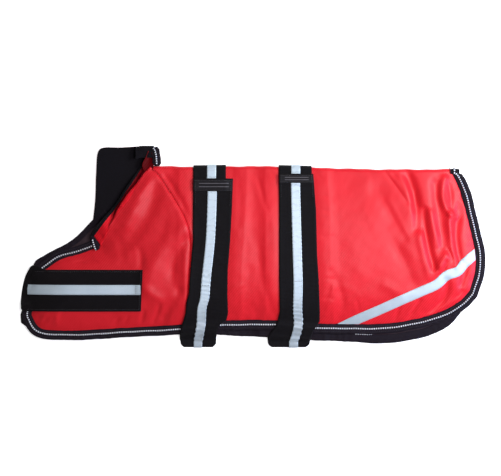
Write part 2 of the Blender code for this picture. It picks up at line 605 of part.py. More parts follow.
def near_collar():
    """The near half of the collar: a red strip that rises from its seam to a rolled black edge."""
    foot = outward(front_near_plan[0, NECK_COLUMNS - 1:], 1 * MM)[2:-1]
    rim = even(through(COLLAR_RIM, 60), len(foot))
    base = height(foot[:, 0], foot[:, 1])
    u = np.linspace(0, 1, 4)[:, None, None]
    plan = foot + (rim - foot) * u
    rise = base + COLLAR_RISE * ease(np.linspace(0, 1, 4))[:, None]
    upper = at_z(plan, rise)
    wall("collar_near", upper, upper - [0, 0, CLOTH], RED)
    away = (rim - foot) / np.linalg.norm(rim - foot, axis=1, keepdims=True)
    roll = [(0.8, 0.3), (4.0, -0.4), (6.0, -3.5)]
    rows = [np.column_stack([rim + away * a * MM, rise[-1] + dz * MM]) for a, dz in roll]
    rows.append(np.column_stack([rim + away * 3 * MM, (rise[-1] + LINING_TOP) / 2]))
    rows.append(np.column_stack([rim - away * 2 * MM, np.full(len(rim), LINING_TOP + GAP + LINING + 0.3 * MM)]))
    outer = np.array(rows)
    normal = offset_normals(outer)
    wall("collar_near_lining", outer, outer - normal * np.sign(normal[0, 0, 2]) * LINING, BLACK)


def turned_back():
    """The short stretch at the spine that is turned back over the far collar, and its bound end."""
    x = np.linspace(-173, -150.4, 4) * MM
    rows = np.array([[(xi, y * MM, z * MM) for xi in x] for y, z in TURN_BACK])
    normal = offset_normals(rows)
    wall("collar_back", rows, rows + normal * np.sign(-normal[-1, 0, 2]) * LINING, BLACK)
    line = through([Knot(-144, 150), Knot(-143, 141), Knot(-141.5, 132), Knot(-141, 123.5)], 7)
    z = np.interp(line[:, 1], [0.1235, 0.141, 0.150], [10 * MM, 9.5 * MM, 6 * MM])
    centre, across = np.column_stack([line, z]), np.tile([1.0, 0, 0], (7, 1))
    sweep("collar_back_binding", centre, across, np.tile([0, 0, 1.0], (7, 1)), flat_bar(12 * MM, BINDING), BLACK)
    cord = [(-PIPING / 2, 0), (PIPING / 2, 0), (PIPING / 4, PIPING_RISE), (-PIPING / 4, PIPING_RISE)]
    sweep("collar_back_piping", centre + [0, 0, BINDING + GAP], across, np.tile([0, 0, 1.0], (7, 1)), cord, SILVER)


def collar():
    for piece in (far_collar, near_collar, turned_back):
        piece()


for build in (back_panel, front_panels, hidden_layers, hem_bindings, neck_bindings, straps, chest_flap, tail_tape,
              collar):
    build()
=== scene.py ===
"""The looks of a red dog raincoat, folded along its spine: cloth, creases, bindings, tapes and sewing."""

import bpy
import numpy as np
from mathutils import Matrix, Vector


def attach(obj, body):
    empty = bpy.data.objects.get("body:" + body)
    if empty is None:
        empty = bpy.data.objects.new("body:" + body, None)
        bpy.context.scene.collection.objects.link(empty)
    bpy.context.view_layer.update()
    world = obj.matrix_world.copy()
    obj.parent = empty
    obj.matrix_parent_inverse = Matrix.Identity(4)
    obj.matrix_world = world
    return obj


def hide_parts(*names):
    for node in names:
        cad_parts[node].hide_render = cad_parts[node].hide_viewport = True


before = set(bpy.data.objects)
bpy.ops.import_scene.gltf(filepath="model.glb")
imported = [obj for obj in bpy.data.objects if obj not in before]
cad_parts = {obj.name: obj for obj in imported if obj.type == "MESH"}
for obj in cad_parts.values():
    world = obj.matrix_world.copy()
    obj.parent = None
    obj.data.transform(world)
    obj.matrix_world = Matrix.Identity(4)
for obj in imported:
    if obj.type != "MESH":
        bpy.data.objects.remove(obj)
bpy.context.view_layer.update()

MM = 0.001
MIDDLE = np.array([2.0, 0.7, 0.0]) * MM  # the outlines' frame is this far from the origin

# Thicknesses and widths of the cloths, and the gaps between layers
CLOTH = 0.9 * MM
LINING = 0.9 * MM
LINING_GAP = 0.4 * MM
WEBBING = 1.6 * MM
TAPE = 0.45 * MM
LABEL = 0.5 * MM
TAPE_WIDTH = 14.5 * MM
STRAP_TAPE_WIDTH = 13.2 * MM
BINDING_WIDTH = 11 * MM
BINDING_THICK = 3.0 * MM
PIPING = 2.1 * MM
BEAD = 3.4 * MM
GAP = 0.3 * MM
SEWN_GAP = 0.1 * MM

# The stack of layers at the edges, from the floor up, as in the solids
LIFT = 2.1 * MM
LINING_BOTTOM = 1.9 * MM
LINING_TOP = 3.1 * MM
EDGE_TOP = 5.7 * MM
SPINE_TOP = 13 * MM
SPINE_RADIUS = 6.5 * MM
CROWN = 9 * MM
EDGE_REACH = 45 * MM
CROWN_REACH = 95 * MM
PRESS = 1.5 * MM

# Outlines in millimetres, each a smooth curve through the points (x, y) of the coat as it lies
SPINE = [(-149, 122), (-86, 120.5), (-1, 121.5), (90, 119.5), (179, 117), (299, 117)]
SEAM = [(-149, 122), (-116, 73.5), (-94, 30), (-91, -22), (-94, -69), (-94.5, -116)]
HEM_BACK = [(-94.5, -116), (-54, -111), (39, -110.5), (126, -116), (223, -113), (283, -98), (313, -82),
            (328, -67)]
TAIL = [(299, 117), (313.5, 85.5), (329, 28.5), (337.5, -15), (336, -40), (328, -67)]
NECK = [(-310, -35), (-286, -19), (-254, -9.5), (-227, 1)]
CREASE = [(-227, 1), (-208, 38), (-181, 73.5), (-162, 108), (-149, 122)]
FRONT = [(-310, -35), (-323, -62), (-330, -102)]
HEM_FRONT = [(-330, -102), (-318, -121), (-286, -125.5), (-211, -122.7), (-94.5, -116)]
FAR_HEM = [(-335, -107), (-310, -115.5), (-226, -117), (-106, -117), (24, -123), (149, -130), (208, -131.5),
           (262, -122), (291.5, -106.5), (320.5, -70.5)]
FAR_TAIL = [(299, 117), (307.5, 90), (320, 46), (329, 8), (332, -22), (329, -48), (320.5, -70.5)]
FAR_NECK = [(-318, -27), (-291, -12), (-262, 5), (-238, 28)]
FAR_NECKLINE = [(-238, 28), (-208, 57), (-170, 106), (-149, 115)]
FAR_FRONT = [(-318, -27), (-322, -62), (-335, -107)]
COLLAR_RIM = [(-236, 17), (-222, 35), (-203, 59.5), (-190.5, 79), (-173, 106), (-162, 124.5), (-156, 140)]
COLLAR_CREST = [(-226.5, 4), (-215, 23), (-207, 38), (-203.5, 49), (-197.5, 60.5), (-184, 81), (-171.5, 96),
                (-161, 113), (-151.5, 119.5)]
COLLAR_FAR = [(-239, 29.5), (-234.5, 70), (-233, 110), (-230, 143), (-225, 148.5), (-197, 149.6),
              (-151, 149.6), (-149.5, 145), (-150.5, 117.5)]

# Creases in millimetres: a curve from, via and to, half its width, and its height above the cloth around it
FOLDS = np.array([
    (-144, 86, -155, 48, -185, 6, 12, -3.6), (-99, 28, -137, -12, -155, -57, 14, 3.6),
    (-96, 10, -114, -26, -109, -64, 9, -3), (-109, -64, -118, -86, -131, -104, 6, -2),
    (-170, 63, -178, 50, -186, 33, 8, 2.2), (-150, 100, -158, 88, -167, 76, 6, 1.7),
    (-156, -64, -148, -71, -138, -76, 8, 2.2), (-166, -4, -164, -16, -164, -31, 5, -1.7),
    (-128, 104, -108, 72, -92, 38, 6, -2.5), (-205, 42, -180, 78, -155, 118, 7, -1.8),
    (-100, 0, -98, -40, -99, -92, 4, 1.2), (-160, -97, -163, -106, -167, -119, 3, -2),
    (-137, -88, -142, -102, -149, -118, 3.2, -2.2), (-199, -108, -203, -113, -209, -121, 2.6, -1.5),
    (-184, -105, -187, -110, -191, -118, 2.4, -1.3), (-300, -98, -306, -106, -314, -117, 3, -1.5),
    (-288, -98, -291, -106, -292, -119, 4, 1.3), (-317, -104, -320, -108, -324, -113, 2.6, -1.1),
    (-263, -23, -247, -21, -231, -23, 2.6, -1.2), (-245, -27, -215, -20, -185, -14, 8, 1),
    (-205, 20, -196, 5, -192, -20, 7, -1.2), (-120, 60, -118, 40, -124, 12, 7, 1.2),
    (14, -4, 20, -57, 36, -104, 6, -1.1), (11, 101, 17, 80, 23, 58, 3.4, -0.7),
    (2, 104, 9, 84, 13, 62, 5, 0.4), (-20, 102, -17, 66, -19, 33, 6, -0.7),
    (-2, 14, -1, -4, -2, -22, 6, 0.7), (-34, -86, -30, -66, -13, -57, 4, 0.6),
    (-30, -92, -20, -84, -8, -72, 4, -0.5), (28, 117, 31, 112, 35, 107, 3, -0.5),
    (33, 34, 37, 10, 36, -20, 4, 0.4), (2, -88, 6, -98, 5, -108, 4, -0.4),
    (94, 116, 98, 110, 104, 103, 3.2, -0.6), (97, 79, 108, 77, 119, 74, 3.2, -0.4),
    (97, 56, 108, 55, 121, 51, 3.4, -0.5), (98, 17, 110, 15, 124, 16, 3.6, -0.5),
    (100, 36, 112, 36, 126, 33, 4, 0.3), (101, -49, 112, -47, 122, -48, 3, -0.4),
    (103, -79, 113, -76, 122, -78, 3.2, -0.5), (121, -49, 117, -63, 112, -77, 3.6, -0.7),
    (120, -36, 135, -70, 138, -93, 5.5, -1.1), (159, -79, 160, -87, 161, -96, 3, -0.6),
    (119, -82, 115, -92, 111, -103, 4, 0.7), (112, -108, 116, -111, 119, -108, 3.4, -0.7),
    (128, -58, 146, -62, 160, -72, 6, 0.5), (150, 106, 146, 70, 150, 30, 14, -0.5),
    (150, 10, 160, -30, 172, -62, 13, 0.6), (190, 86, 211, 48, 231, 18, 13, -3.4),
    (201, 26, 223, -12, 241, -52, 11, -2.9), (198, 116, 220, 86, 234, 66, 2.8, -1.5),
    (213, 109, 217, 106, 221, 103, 2.2, -0.9), (206, 70, 222, 40, 238, 12, 6, 1.3),
    (201, -57, 212, -63, 224, -72, 8, 1.5), (234, 112, 246, 70, 249, 28, 7.5, -6.7),
    (222, 104, 236, 80, 240, 52, 6, 1.7), (259, 56, 263, 12, 274, -32, 5.5, -5.4),
    (250, 22, 258, -14, 266, -44, 6, 1.8), (277, 93, 282, 48, 288, 3, 8.5, -4.7),
    (268, 52, 274, 26, 278, 4, 5, 2.2), (291, 104, 286, 74, 298, 50, 5.2, 4),
    (298, 50, 309, 46, 316, 70, 4.6, 3.1), (297, 94, 300, 76, 299, 58, 3.4, -2.2),
    (297, 47, 299, 18, 307, -27, 4.6, 3.6), (316, 62, 307, 20, 313, -22, 7, -6.3),
    (290, -14, 284, -25, 277, -35, 5.5, 3.6), (295, -4, 299, -13, 303, -22, 2.8, -2.2),
    (292, -22, 289, -33, 283, -42, 2.8, -2.2), (292, -50, 290, -74, 265, -104, 6.5, -4.5),
    (324, -31, 319, -44, 315, -57, 4.4, -3.4), (335, -22, 332, -44, 325, -65, 4.4, 2.5),
    (321, -76, 302, -87, 283, -95, 5, 2.9), (316, -66, 312, -72, 307, -77, 2.6, -1.6),
    (253, -79, 243, -96, 231, -110, 2.8, -2.1), (223, -91, 219, -101, 213, -113, 2.8, -1.8),
    (244, -84, 236, -97, 226, -110, 4, 1.3), (178, 112, 182, 96, 180, 78, 5, -0.4),
    (160, 60, 172, 30, 190, 4, 9, -0.4),
])

# Belly straps in millimetres: the band's rows of y, left edge and right edge down the near side, the base's
# two edges, the y of the band's end, the label's top and bottom, and the tape's centre line
STRAPS = {
    "strap_front": {
        "edges": np.array([(110, -86, -27), (55, -86, -29), (10, -86, -31.5), (-35, -90, -35),
                           (-70, -92.4, -35.6), (-84, -96, -35.2), (-100, -97.6, -34.8),
                           (-109, -100.3, -37), (-118, -103.5, -48.5), (-130, -107, -52),
                           (-139, -106.8, -52.8), (-152, -102, -53)], float),
        "base": (-86, -38), "end": 102, "label": (100.5, 83.5),
        "tape": [(-59, 120), (-58, 84), (-60.5, 12), (-66.8, -48), (-69.5, -78), (-73, -90), (-75, -117),
                 (-81.8, -152)],
    },
    "strap_rear": {
        "edges": np.array([(120, 42, 92), (55, 42.5, 96.5), (-10, 42.5, 98), (-48, 42.5, 100.5),
                           (-96, 43.5, 102.5), (-111, 40.5, 102.6), (-120, 37, 97), (-128, 30, 91.8),
                           (-136, 25, 89.8), (-144, 26, 87.5), (-152, 31, 85)], float),
        "base": (42, 90.5), "end": 109, "label": (108, 96),
        "tape": [(67, 120), (66.5, 93), (69, -12), (70.2, -54), (69.8, -96), (71, -111), (69.3, -126),
                 (60.5, -152)],
    },
}
STRAP_BOTTOM = -151 * MM
STRAP_TURN = 9 * MM
STRAP_FAR_END = 98 * MM
CROSS_STITCH_Y = {"strap_front": -57.5 * MM, "strap_rear": -51 * MM}

# The chest flap's and the tapes' places
FLAP_TOP, FLAP_BOTTOM, FLAP_END = -34.5 * MM, -96 * MM, -165 * MM
CHEST_TAPE_Y = -64 * MM
FLAP_FOLD = [(-333, -34.5), (-340, -46), (-344, -60), (-346.5, -80), (-346, -96)]
FLAP_FAR = [(-320.5, -34.5), (-323, -60), (-331.5, -96)]
TAIL_TAPE = [(118, -130), (157, -110), (194, -93.5), (223.5, -80), (254, -66.5), (278, -55.5), (293, -42.5),
             (310, -36), (320, -25), (334, -13), (352, -2)]

# The turned back stretch of the collar in section: y and z in millimetres, from the far collar up and over
TURN_BACK = [(136, 3.6), (148, 4.4), (152, 7), (151, 10), (146, 11.5), (140, 12), (134, 12)]


def even(line, count):
    """A line's points again, count of them, at equal distances along it."""
    along = np.concatenate([[0], np.cumsum(np.linalg.norm(np.diff(line, axis=0), axis=1))])
    at = np.linspace(0, along[-1], count)
    return np.stack([np.interp(at, along, line[:, i]) for i in range(line.shape[1])], axis=1)


def through(knots, count):
    """Points evenly along the centripetal Catmull-Rom curve through the knots, given in millimetres."""
    p = np.array(knots, float) * MM
    p = np.vstack([2 * p[0] - p[1], p, 2 * p[-1] - p[-2]])
    a, b, c, d = (x[:, None] for x in (p[:-3], p[1:-2], p[2:-1], p[3:]))
    t1 = np.linalg.norm(b - a, axis=2, keepdims=True) ** 0.5
    t2 = t1 + np.linalg.norm(c - b, axis=2, keepdims=True) ** 0.5
    t3 = t2 + np.linalg.norm(d - c, axis=2, keepdims=True) ** 0.5
    t = t1 + (t2 - t1) * np.linspace(0, 1, 24, endpoint=False)[None, :, None]
    ab = (t1 - t) / t1 * a + t / t1 * b
    bc = (t2 - t) / (t2 - t1) * b + (t - t1) / (t2 - t1) * c
    cd = (t3 - t) / (t3 - t2) * c + (t - t2) / (t3 - t2) * d
    curve = (t2 - t) / (t2 - t1) * ((t2 - t) / t2 * ab + t / t2 * bc)
    curve = curve + (t - t1) / (t2 - t1) * ((t3 - t) / (t3 - t1) * bc + (t - t1) / (t3 - t1) * cd)
    return even(np.vstack([curve.reshape(-1, 2), p[-2:-1]]), count)


def clipped(line, axis, low, high):
    """The stretch of a line between two values of x (axis 0) or y (axis 1), both ends included."""
    dense = even(line, 400)
    if dense[0, axis] > dense[-1, axis]:
        return clipped(line[::-1], axis, low, high)[::-1]
    ends = [np.array([[np.interp(v, dense[:, axis], dense[:, i]) for i in (0, 1)]]) for v in (low, high)]
    return np.vstack([ends[0], dense[(dense[:, axis] > low) & (dense[:, axis] < high)], ends[1]])


def outward(line, away):
    """The line moved sideways in plan, to the left of its direction for a positive distance."""
    along = np.gradient(line[:, :2], axis=0)
    along /= np.linalg.norm(along, axis=1, keepdims=True)
    return line[:, :2] + away * np.stack([-along[:, 1], along[:, 0]], axis=1)


def ease(t):
    """A rise from 0 to 1 as t goes from 0 to 1, steep at first: a quarter of a sine wave."""
    return np.sin(np.clip(t, 0, 1) * np.pi / 2)


def smooth(t):
    """A rise from 0 to 1 as t goes from 0 to 1, level at both ends: a cubic."""
    t = np.clip(t, 0, 1)
    return t * t * (3 - 2 * t)


def distance(x, y, line):
    """The distance in plan from each point to a line, and the nearest place's share of the line, 0 to 1."""
    points = np.stack([np.ravel(x), np.ravel(y)], axis=1)
    best, share = np.full(len(points), 9.0), np.zeros(len(points))
    for i, (a, b) in enumerate(zip(line[:-1], line[1:])):
        run = b - a
        t = np.clip((points - a) @ run / max(run @ run, 1e-12), 0, 1)
        away = np.linalg.norm(points - a - t[:, None] * run, axis=1)
        nearer = away < best
        best[nearer], share[nearer] = away[nearer], (i + t[nearer]) / (len(line) - 1)
    return best.reshape(np.shape(x)), share.reshape(np.shape(x))


SPINE_LINE = through(SPINE, 120)
OPEN_LINE = np.vstack([through(NECK, 14)[::-1], through(FRONT, 8), through(HEM_FRONT, 30),
                       through(HEM_BACK, 60), through(TAIL, 30)[::-1]])


def crease_height(x, y):
    """The sum of the creases: each is a bell across a quadratic curve, highest at its middle.

    It fades to 0.72 of its height at its ends, with a slight sine along its length.
    """
    total = np.zeros(np.shape(x))
    t = np.linspace(0, 1, 13)[:, None]
    for number, (x0, y0, x1, y1, x2, y2, half, high) in enumerate(FOLDS):
        via = np.array([2 * x1 - (x0 + x2) / 2, 2 * y1 - (y0 + y2) / 2])
        line = ((1 - t) ** 2 * np.array([x0, y0]) + 2 * t * (1 - t) * via + t ** 2 * np.array([x2, y2])) * MM
        reach = 2.6 * half * MM
        near = (x > line[:, 0].min() - reach) & (x < line[:, 0].max() + reach)
        near &= (y > line[:, 1].min() - reach) & (y < line[:, 1].max() + reach)
        if near.any():
            away, share = distance(x[near], y[near], line)
            swell = 0.72 + 0.28 * np.sin(np.pi * share) + 0.08 * np.sin(9 * share + number)
            total[near] += high * MM * swell * np.exp(-(away / (half * MM)) ** 2)
    return total


def ripple(x, y):
    """Small unevenness of the cloth: six long slanted sine waves of 14 to 61 mm, up to 0.3 mm high in all."""
    waves = [(23, 0.9, 0.3, 0.06), (37, -1.1, 1.7, 0.07), (61, 0.35, 4.1, 0.07), (17, 2.2, 2.6, 0.035),
             (14, -0.4, 5.2, 0.03), (43, 1.6, 0.9, 0.05)]
    bend = 4 * MM * np.sin(y / (31 * MM) + 1.3)
    total = 0
    for length, turn, phase, high in waves:
        along = (x + bend) * np.cos(turn) + y * np.sin(turn)
        total = total + high * MM * np.sin(2 * np.pi * along / (length * MM) + phase)
    return total


def beside_straps(x, y, margin, ramp):
    """1 on a belly strap and within a margin of it, falling to 0 over a ramp beyond that."""
    share = np.zeros(np.shape(x))
    for strap in STRAPS.values():
        rows = strap["edges"].T * MM
        left, right = (np.interp(-y, -rows[0], rows[i]) for i in (1, 2))
        share = np.maximum(share, 1 - ease((np.maximum(left - x, x - right) - margin * MM) / (ramp * MM)))
    return share


def lift(x, y):
    """How far the layers are raised where the far run of a belly strap lies under them."""
    return LIFT * beside_straps(x, y, 21, 14)


def under_flap(x, y):
    """1 where the chest flap lies on the near front, with soft ends."""
    inside = np.minimum(np.minimum(y - FLAP_BOTTOM, FLAP_TOP - y), FLAP_END - x)
    return smooth((inside + 4 * MM) / (6 * MM))


def height(x, y):
    """The upper side of the near half: thin at its open edges, round at the spine and full between.

    Its creases are calmer under the straps and the flap, and fade at the edges.
    """
    x, y = np.asarray(x, float), np.asarray(y, float)
    edge = distance(x, y, OPEN_LINE)[0]
    spine = np.interp(x, SPINE_LINE[:, 0], SPINE_LINE[:, 1]) - y
    press = beside_straps(x, y, 0, 14)
    level = EDGE_TOP + (SPINE_TOP - EDGE_TOP) * ease(edge / EDGE_REACH)
    level = level + CROWN * ease(edge / CROWN_REACH) * ease((spine - SPINE_RADIUS) / CROWN_REACH)
    level = level - PRESS * press * ease(edge / EDGE_REACH) + lift(x, y)
    calm = ease((edge - 2 * MM) / (12 * MM)) * ease((spine + 2 * MM) / (18 * MM))
    calm = calm * (1 - 0.85 * press) * (1 - 0.8 * under_flap(x, y))
    return level + (crease_height(x, y) + ripple(x, y)) * calm


def patch(left, right, top, bottom):
    """A Coons patch in plan: the blends between its opposite sides, less the blend between its corners."""
    u = np.linspace(0, 1, len(top))[None, :, None]
    v = np.linspace(0, 1, len(left))[:, None, None]
    corners = (1 - v) * ((1 - u) * top[0] + u * top[-1]) + v * ((1 - u) * bottom[0] + u * bottom[-1])
    return (1 - u) * left[:, None] + u * right[:, None] + (1 - v) * top[None] + v * bottom[None] - corners


def at_z(plan, z):
    """A grid of points from a grid in plan and its heights."""
    return np.concatenate([plan, np.broadcast_to(z, plan.shape[:2])[..., None]], axis=2)


def normals(grid):
    """The unit normal at each point of a grid: the cross product of its steps down and along the rows."""
    normal = np.cross(np.gradient(grid, axis=0), np.gradient(grid, axis=1))
    return normal / np.maximum(np.linalg.norm(normal, axis=2, keepdims=True), 1e-12)


def cloth_piece(name, points, faces, uv, look, replaces=()):
    """A smooth mesh piece at the origin that rides on the coat, with a UV map in metres along the cloth."""
    mesh = bpy.data.meshes.new(name)
    mesh.vertices.add(len(points))
    mesh.vertices.foreach_set("co", (np.asarray(points) - MIDDLE).astype(np.float32).ravel())
    sides = faces.shape[1]
    mesh.loops.add(faces.size)
    mesh.loops.foreach_set("vertex_index", faces.astype(np.int32).ravel())
    mesh.polygons.add(len(faces))
    mesh.polygons.foreach_set("loop_start", np.arange(0, faces.size, sides, dtype=np.int32))
    layer = mesh.uv_layers.new(name="cloth")
    layer.data.foreach_set("uv", np.asarray(uv, np.float32)[faces.ravel()].ravel())
    mesh.update(calc_edges=True)
    mesh.validate()
    mesh.shade_smooth()
    mesh.materials.append(look)
    made = bpy.data.objects.new(name, mesh)
    bpy.context.scene.collection.objects.link(made)
    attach(made, "root")
    if replaces:
        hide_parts(*replaces)
    return made


def grid_uv(grid):
    """The UV of a grid of points: its lengths along the middle row and down the middle column, in metres."""
    rows, columns = grid.shape[:2]
    across = np.linalg.norm(np.diff(grid[rows // 2], axis=0), axis=1)
    down = np.linalg.norm(np.diff(grid[:, columns // 2], axis=0), axis=1)
    u, v = (np.concatenate([[0], np.cumsum(step)]) for step in (across, down))
    return np.stack(np.meshgrid(u, v), axis=-1)


def straight_up(count):
    """The direction straight up, count times."""
    return np.tile([0.0, 0.0, 1.0], (count, 1))


def wall(name, upper, under, look, slot, replaces=()):
    """A closed sheet between two grids of points: its two sides, and a rim that bulges at its middle."""
    rows, columns = upper.shape[:2]
    count = rows * columns
    index = np.arange(count).reshape(rows, columns)
    quads = np.stack([index[:-1, :-1], index[1:, :-1], index[1:, 1:], index[:-1, 1:]], axis=-1).reshape(-1, 4)
    rim = np.concatenate([index[0, :], index[1:, -1], index[-1, -2::-1], index[-2:0:-1, 0]])
    points = np.vstack([upper.reshape(-1, 3), under.reshape(-1, 3)])
    bulge = points[rim] * 0.5 + points[rim + count] * 0.5
    middle = 2 * count + np.arange(len(rim))
    after, next_middle = np.roll(rim, -1), np.roll(middle, -1)
    thick = np.linalg.norm(points[rim] - points[rim + count], axis=1, keepdims=True)
    run = np.roll(points[rim], -1, axis=0) - np.roll(points[rim], 1, axis=0)
    out = np.cross(run, points[rim] - points[rim + count])
    out /= np.maximum(np.linalg.norm(out, axis=1, keepdims=True), 1e-12)
    inward = np.vstack([upper[1, :], upper[1:, -2], upper[-2, -2::-1], upper[-2:0:-1, 1]]) - points[rim]
    out = np.where(((out * inward).sum(1) > 0)[:, None], -out, out)
    bulge = bulge + out * thick * 0.3
    sides = np.vstack([np.stack([rim, after, next_middle, middle], axis=1),
                       np.stack([middle, next_middle, after + count, rim + count], axis=1)])
    facing = np.cross(upper[1, 0] - upper[0, 0], upper[0, 1] - upper[0, 0])
    faces = np.vstack([quads, quads[:, ::-1] + count, sides])
    if facing @ (upper - under)[0, 0] < 0:
        faces = faces[:, ::-1]
    uv = grid_uv(upper).reshape(-1, 2)
    uv = np.vstack([uv, uv, uv[rim]])
    return cloth_piece(name, np.vstack([points, bulge]), faces, uv, look, replaces)


def sweep(name, centre, across, up, section, look, replaces=()):
    """A bar: the section's (across, up) outline carried along a line, with both of its ends closed."""
    section = np.asarray(section, float)
    ring, count = len(section), len(centre)
    points = centre[:, None] + across[:, None] * section[None, :, :1] + up[:, None] * section[None, :, 1:]
    index = np.arange(count * ring).reshape(count, ring)
    after = np.roll(index, -1, axis=1)
    quads = np.stack([index[:-1], after[:-1], after[1:], index[1:]], axis=-1).reshape(-1, 4)
    half = ring // 2
    j = np.arange(half - 1)
    caps = []
    for row, flip in ((index[0], True), (index[-1], False)):
        strip = np.stack([row[j], row[j + 1], row[ring - 2 - j], row[ring - 1 - j]], axis=1)
        caps.append(strip[:, ::-1] if flip else strip)
    faces = np.vstack([quads] + caps)
    if np.cross(across[0], up[0]) @ (centre[1] - centre[0]) < 0:
        faces = faces[:, ::-1]
    run = np.concatenate([[0], np.cumsum(np.linalg.norm(np.diff(centre, axis=0), axis=1))])
    around = np.concatenate([[0], np.cumsum(np.linalg.norm(np.diff(section, axis=0), axis=1))])
    uv = np.stack(np.broadcast_arrays(around[None, :], run[:, None]), axis=2)
    return cloth_piece(name, points.reshape(-1, 3), faces, uv.reshape(-1, 2), look, replaces)


# How many rows and columns of points each cloth has
BACK_COLUMNS, NEAR_ROWS, FAR_ROWS, ARC_ROWS = 236, 118, 42, 12
NECK_COLUMNS, CREASE_COLUMNS = 44, 56

fold_line = SPINE_LINE - [0, SPINE_RADIUS]
seam = through(SEAM, 80)
seam = np.vstack([fold_line[:1], seam[seam[:, 1] < fold_line[0, 1] - SPINE_RADIUS]])
seam_near = even(seam, NEAR_ROWS)
far_hem_back = clipped(through(FAR_HEM, 120), 0, -94.5 * MM, 320.5 * MM)
far_hem_front = clipped(through(FAR_HEM, 120), 0, -335 * MM, -94.5 * MM)
seam_far = even(np.vstack([seam[seam[:, 1] > -0.1], far_hem_back[:1]]), FAR_ROWS)
near_plan = patch(seam_near, even(clipped(through(TAIL, 60), 1, -67 * MM, fold_line[-1, 1]), NEAR_ROWS),
                  even(fold_line, BACK_COLUMNS), even(through(HEM_BACK, 90), BACK_COLUMNS))
near_plan[0, -1], near_plan[0, 0] = fold_line[-1], fold_line[0]
far_plan = patch(seam_far, even(clipped(through(FAR_TAIL, 60), 1, -70.5 * MM, fold_line[-1, 1]), FAR_ROWS),
                 even(fold_line, BACK_COLUMNS), even(far_hem_back, BACK_COLUMNS))
far_plan[0] = near_plan[0]


def front_plan(side, edge, neck, rise, hem):
    """The plan of a front panel: its top row runs along the neck and then up the collar seam."""
    top = np.vstack([even(neck, NECK_COLUMNS)[:-1], even(rise, CREASE_COLUMNS)])
    bottom = even(hem, len(top))
    top[-1], bottom[-1] = edge[0], edge[-1]
    return patch(side, edge, top, bottom)


front_near_plan = front_plan(even(through(FRONT, 40), NEAR_ROWS), seam_near, through(NECK, 40),
                             through(CREASE, 60), through(HEM_FRONT, 60))
front_far_plan = front_plan(even(through(FAR_FRONT, 40), FAR_ROWS), seam_far, through(FAR_NECK, 40),
                            through(FAR_NECKLINE, 60), far_hem_front)
near_edge = np.vstack([front_near_plan[-1], near_plan[-1, 1:], near_plan[-2::-1, -1]])
far_edge = np.vstack([front_far_plan[-1], far_plan[-1, 1:], far_plan[-2::-1, -1]])
far_line = np.vstack([front_far_plan[0, ::-1], front_far_plan[:, 0], far_edge])


def low_height(x, y):
    """The underside of the far half: on the floor, raised over the straps' far runs.

    It has a groove at its seam, a bell across it, and soft dents where the near half has troughs. They fade
    at the edges.
    """
    spine = np.interp(x, SPINE_LINE[:, 0], SPINE_LINE[:, 1]) - y
    calm = ease((distance(x, y, far_line[::6])[0] - 6 * MM) / (14 * MM)) * ease((spine - 8 * MM) / (20 * MM))
    groove = 0.6 * MM * np.exp(-(distance(x, y, seam_far)[0] / (1.6 * MM)) ** 2)
    return lift(x, y) + (groove + np.clip(-0.35 * crease_height(x, y), 0, 1.1 * MM)) * calm


def seam_dip(x, y):
    """The groove where the front and the back panel are sewn together, and the soft ridges beside it."""
    away = distance(x, y, seam_near)[0]
    pucker = 1 + 0.25 * np.sin(y / (1.6 * MM) + 2 * np.sin(y / (11 * MM)))
    groove = -1.5 * MM * np.exp(-(away / (1.5 * MM)) ** 2)
    return groove + 0.3 * MM * pucker * np.exp(-((away / MM - 4.5) / 2.6) ** 2)


def edge_pucker(x, y, edge):
    """Short uneven puckers that the hem's sewing pulls into the cloth, fading 16 mm in from the binding."""
    away, share = distance(x, y, edge)
    run = share * 780
    wave = np.sin(run / 3.1 + 2 * np.sin(run / 21)) * (0.6 + 0.4 * np.sin(run / 13 + 1))
    return 0.42 * MM * wave * np.exp(-away / (8 * MM))


def shell_height(x, y):
    """The near half's upper side with all of its creases, its seam and the puckers at its hem."""
    return height(x, y) + seam_dip(x, y) + edge_pucker(x, y, near_edge[::8])


# The height of whatever lies uppermost, on a map of 1 mm squares
MAP_X, MAP_Y = np.arange(-0.36, 0.36, MM), np.arange(-0.18, 0.17, MM)
tops = np.zeros((len(MAP_Y), len(MAP_X)))


def sampled(values, x, y):
    """The map read between its squares, by straight blends both ways."""
    i = np.clip((np.asarray(y) - MAP_Y[0]) / MM, 0, len(MAP_Y) - 1.001)
    j = np.clip((np.asarray(x) - MAP_X[0]) / MM, 0, len(MAP_X) - 1.001)
    i0, j0 = i.astype(int), j.astype(int)
    di, dj = i - i0, j - j0
    low = values[i0, j0] * (1 - dj) + values[i0, j0 + 1] * dj
    high = values[i0 + 1, j0] * (1 - dj) + values[i0 + 1, j0 + 1] * dj
    return low * (1 - di) + high * di


def stamp(grid):
    """Raises the map to a placed grid of points, after cutting its squares into four by four."""
    fine = grid
    for axis in (0, 1, 0, 1):
        fine = np.moveaxis(fine, axis, 0)
        halves = (fine[:-1] + fine[1:]) / 2
        doubled = np.empty((2 * len(fine) - 1,) + fine.shape[1:])
        doubled[::2], doubled[1::2] = fine, halves
        fine = np.moveaxis(doubled, 0, axis)
    i = np.round((fine[..., 1] - MAP_Y[0]) / MM).astype(int).ravel()
    j = np.round((fine[..., 0] - MAP_X[0]) / MM).astype(int).ravel()
    inside = (i >= 0) & (i < len(MAP_Y)) & (j >= 0) & (j < len(MAP_X))
    np.maximum.at(tops, (i[inside], j[inside]), fine[..., 2].ravel()[inside])


def highest(values, reach):
    """The map's highest value within reach, in millimetres, of each square."""
    best = values.copy()
    for axis in (0, 1):
        source = best.copy()
        for step in range(1, reach + 1):
            best = np.maximum(best, np.roll(source, step, axis))
            best = np.maximum(best, np.roll(source, -step, axis))
    return best


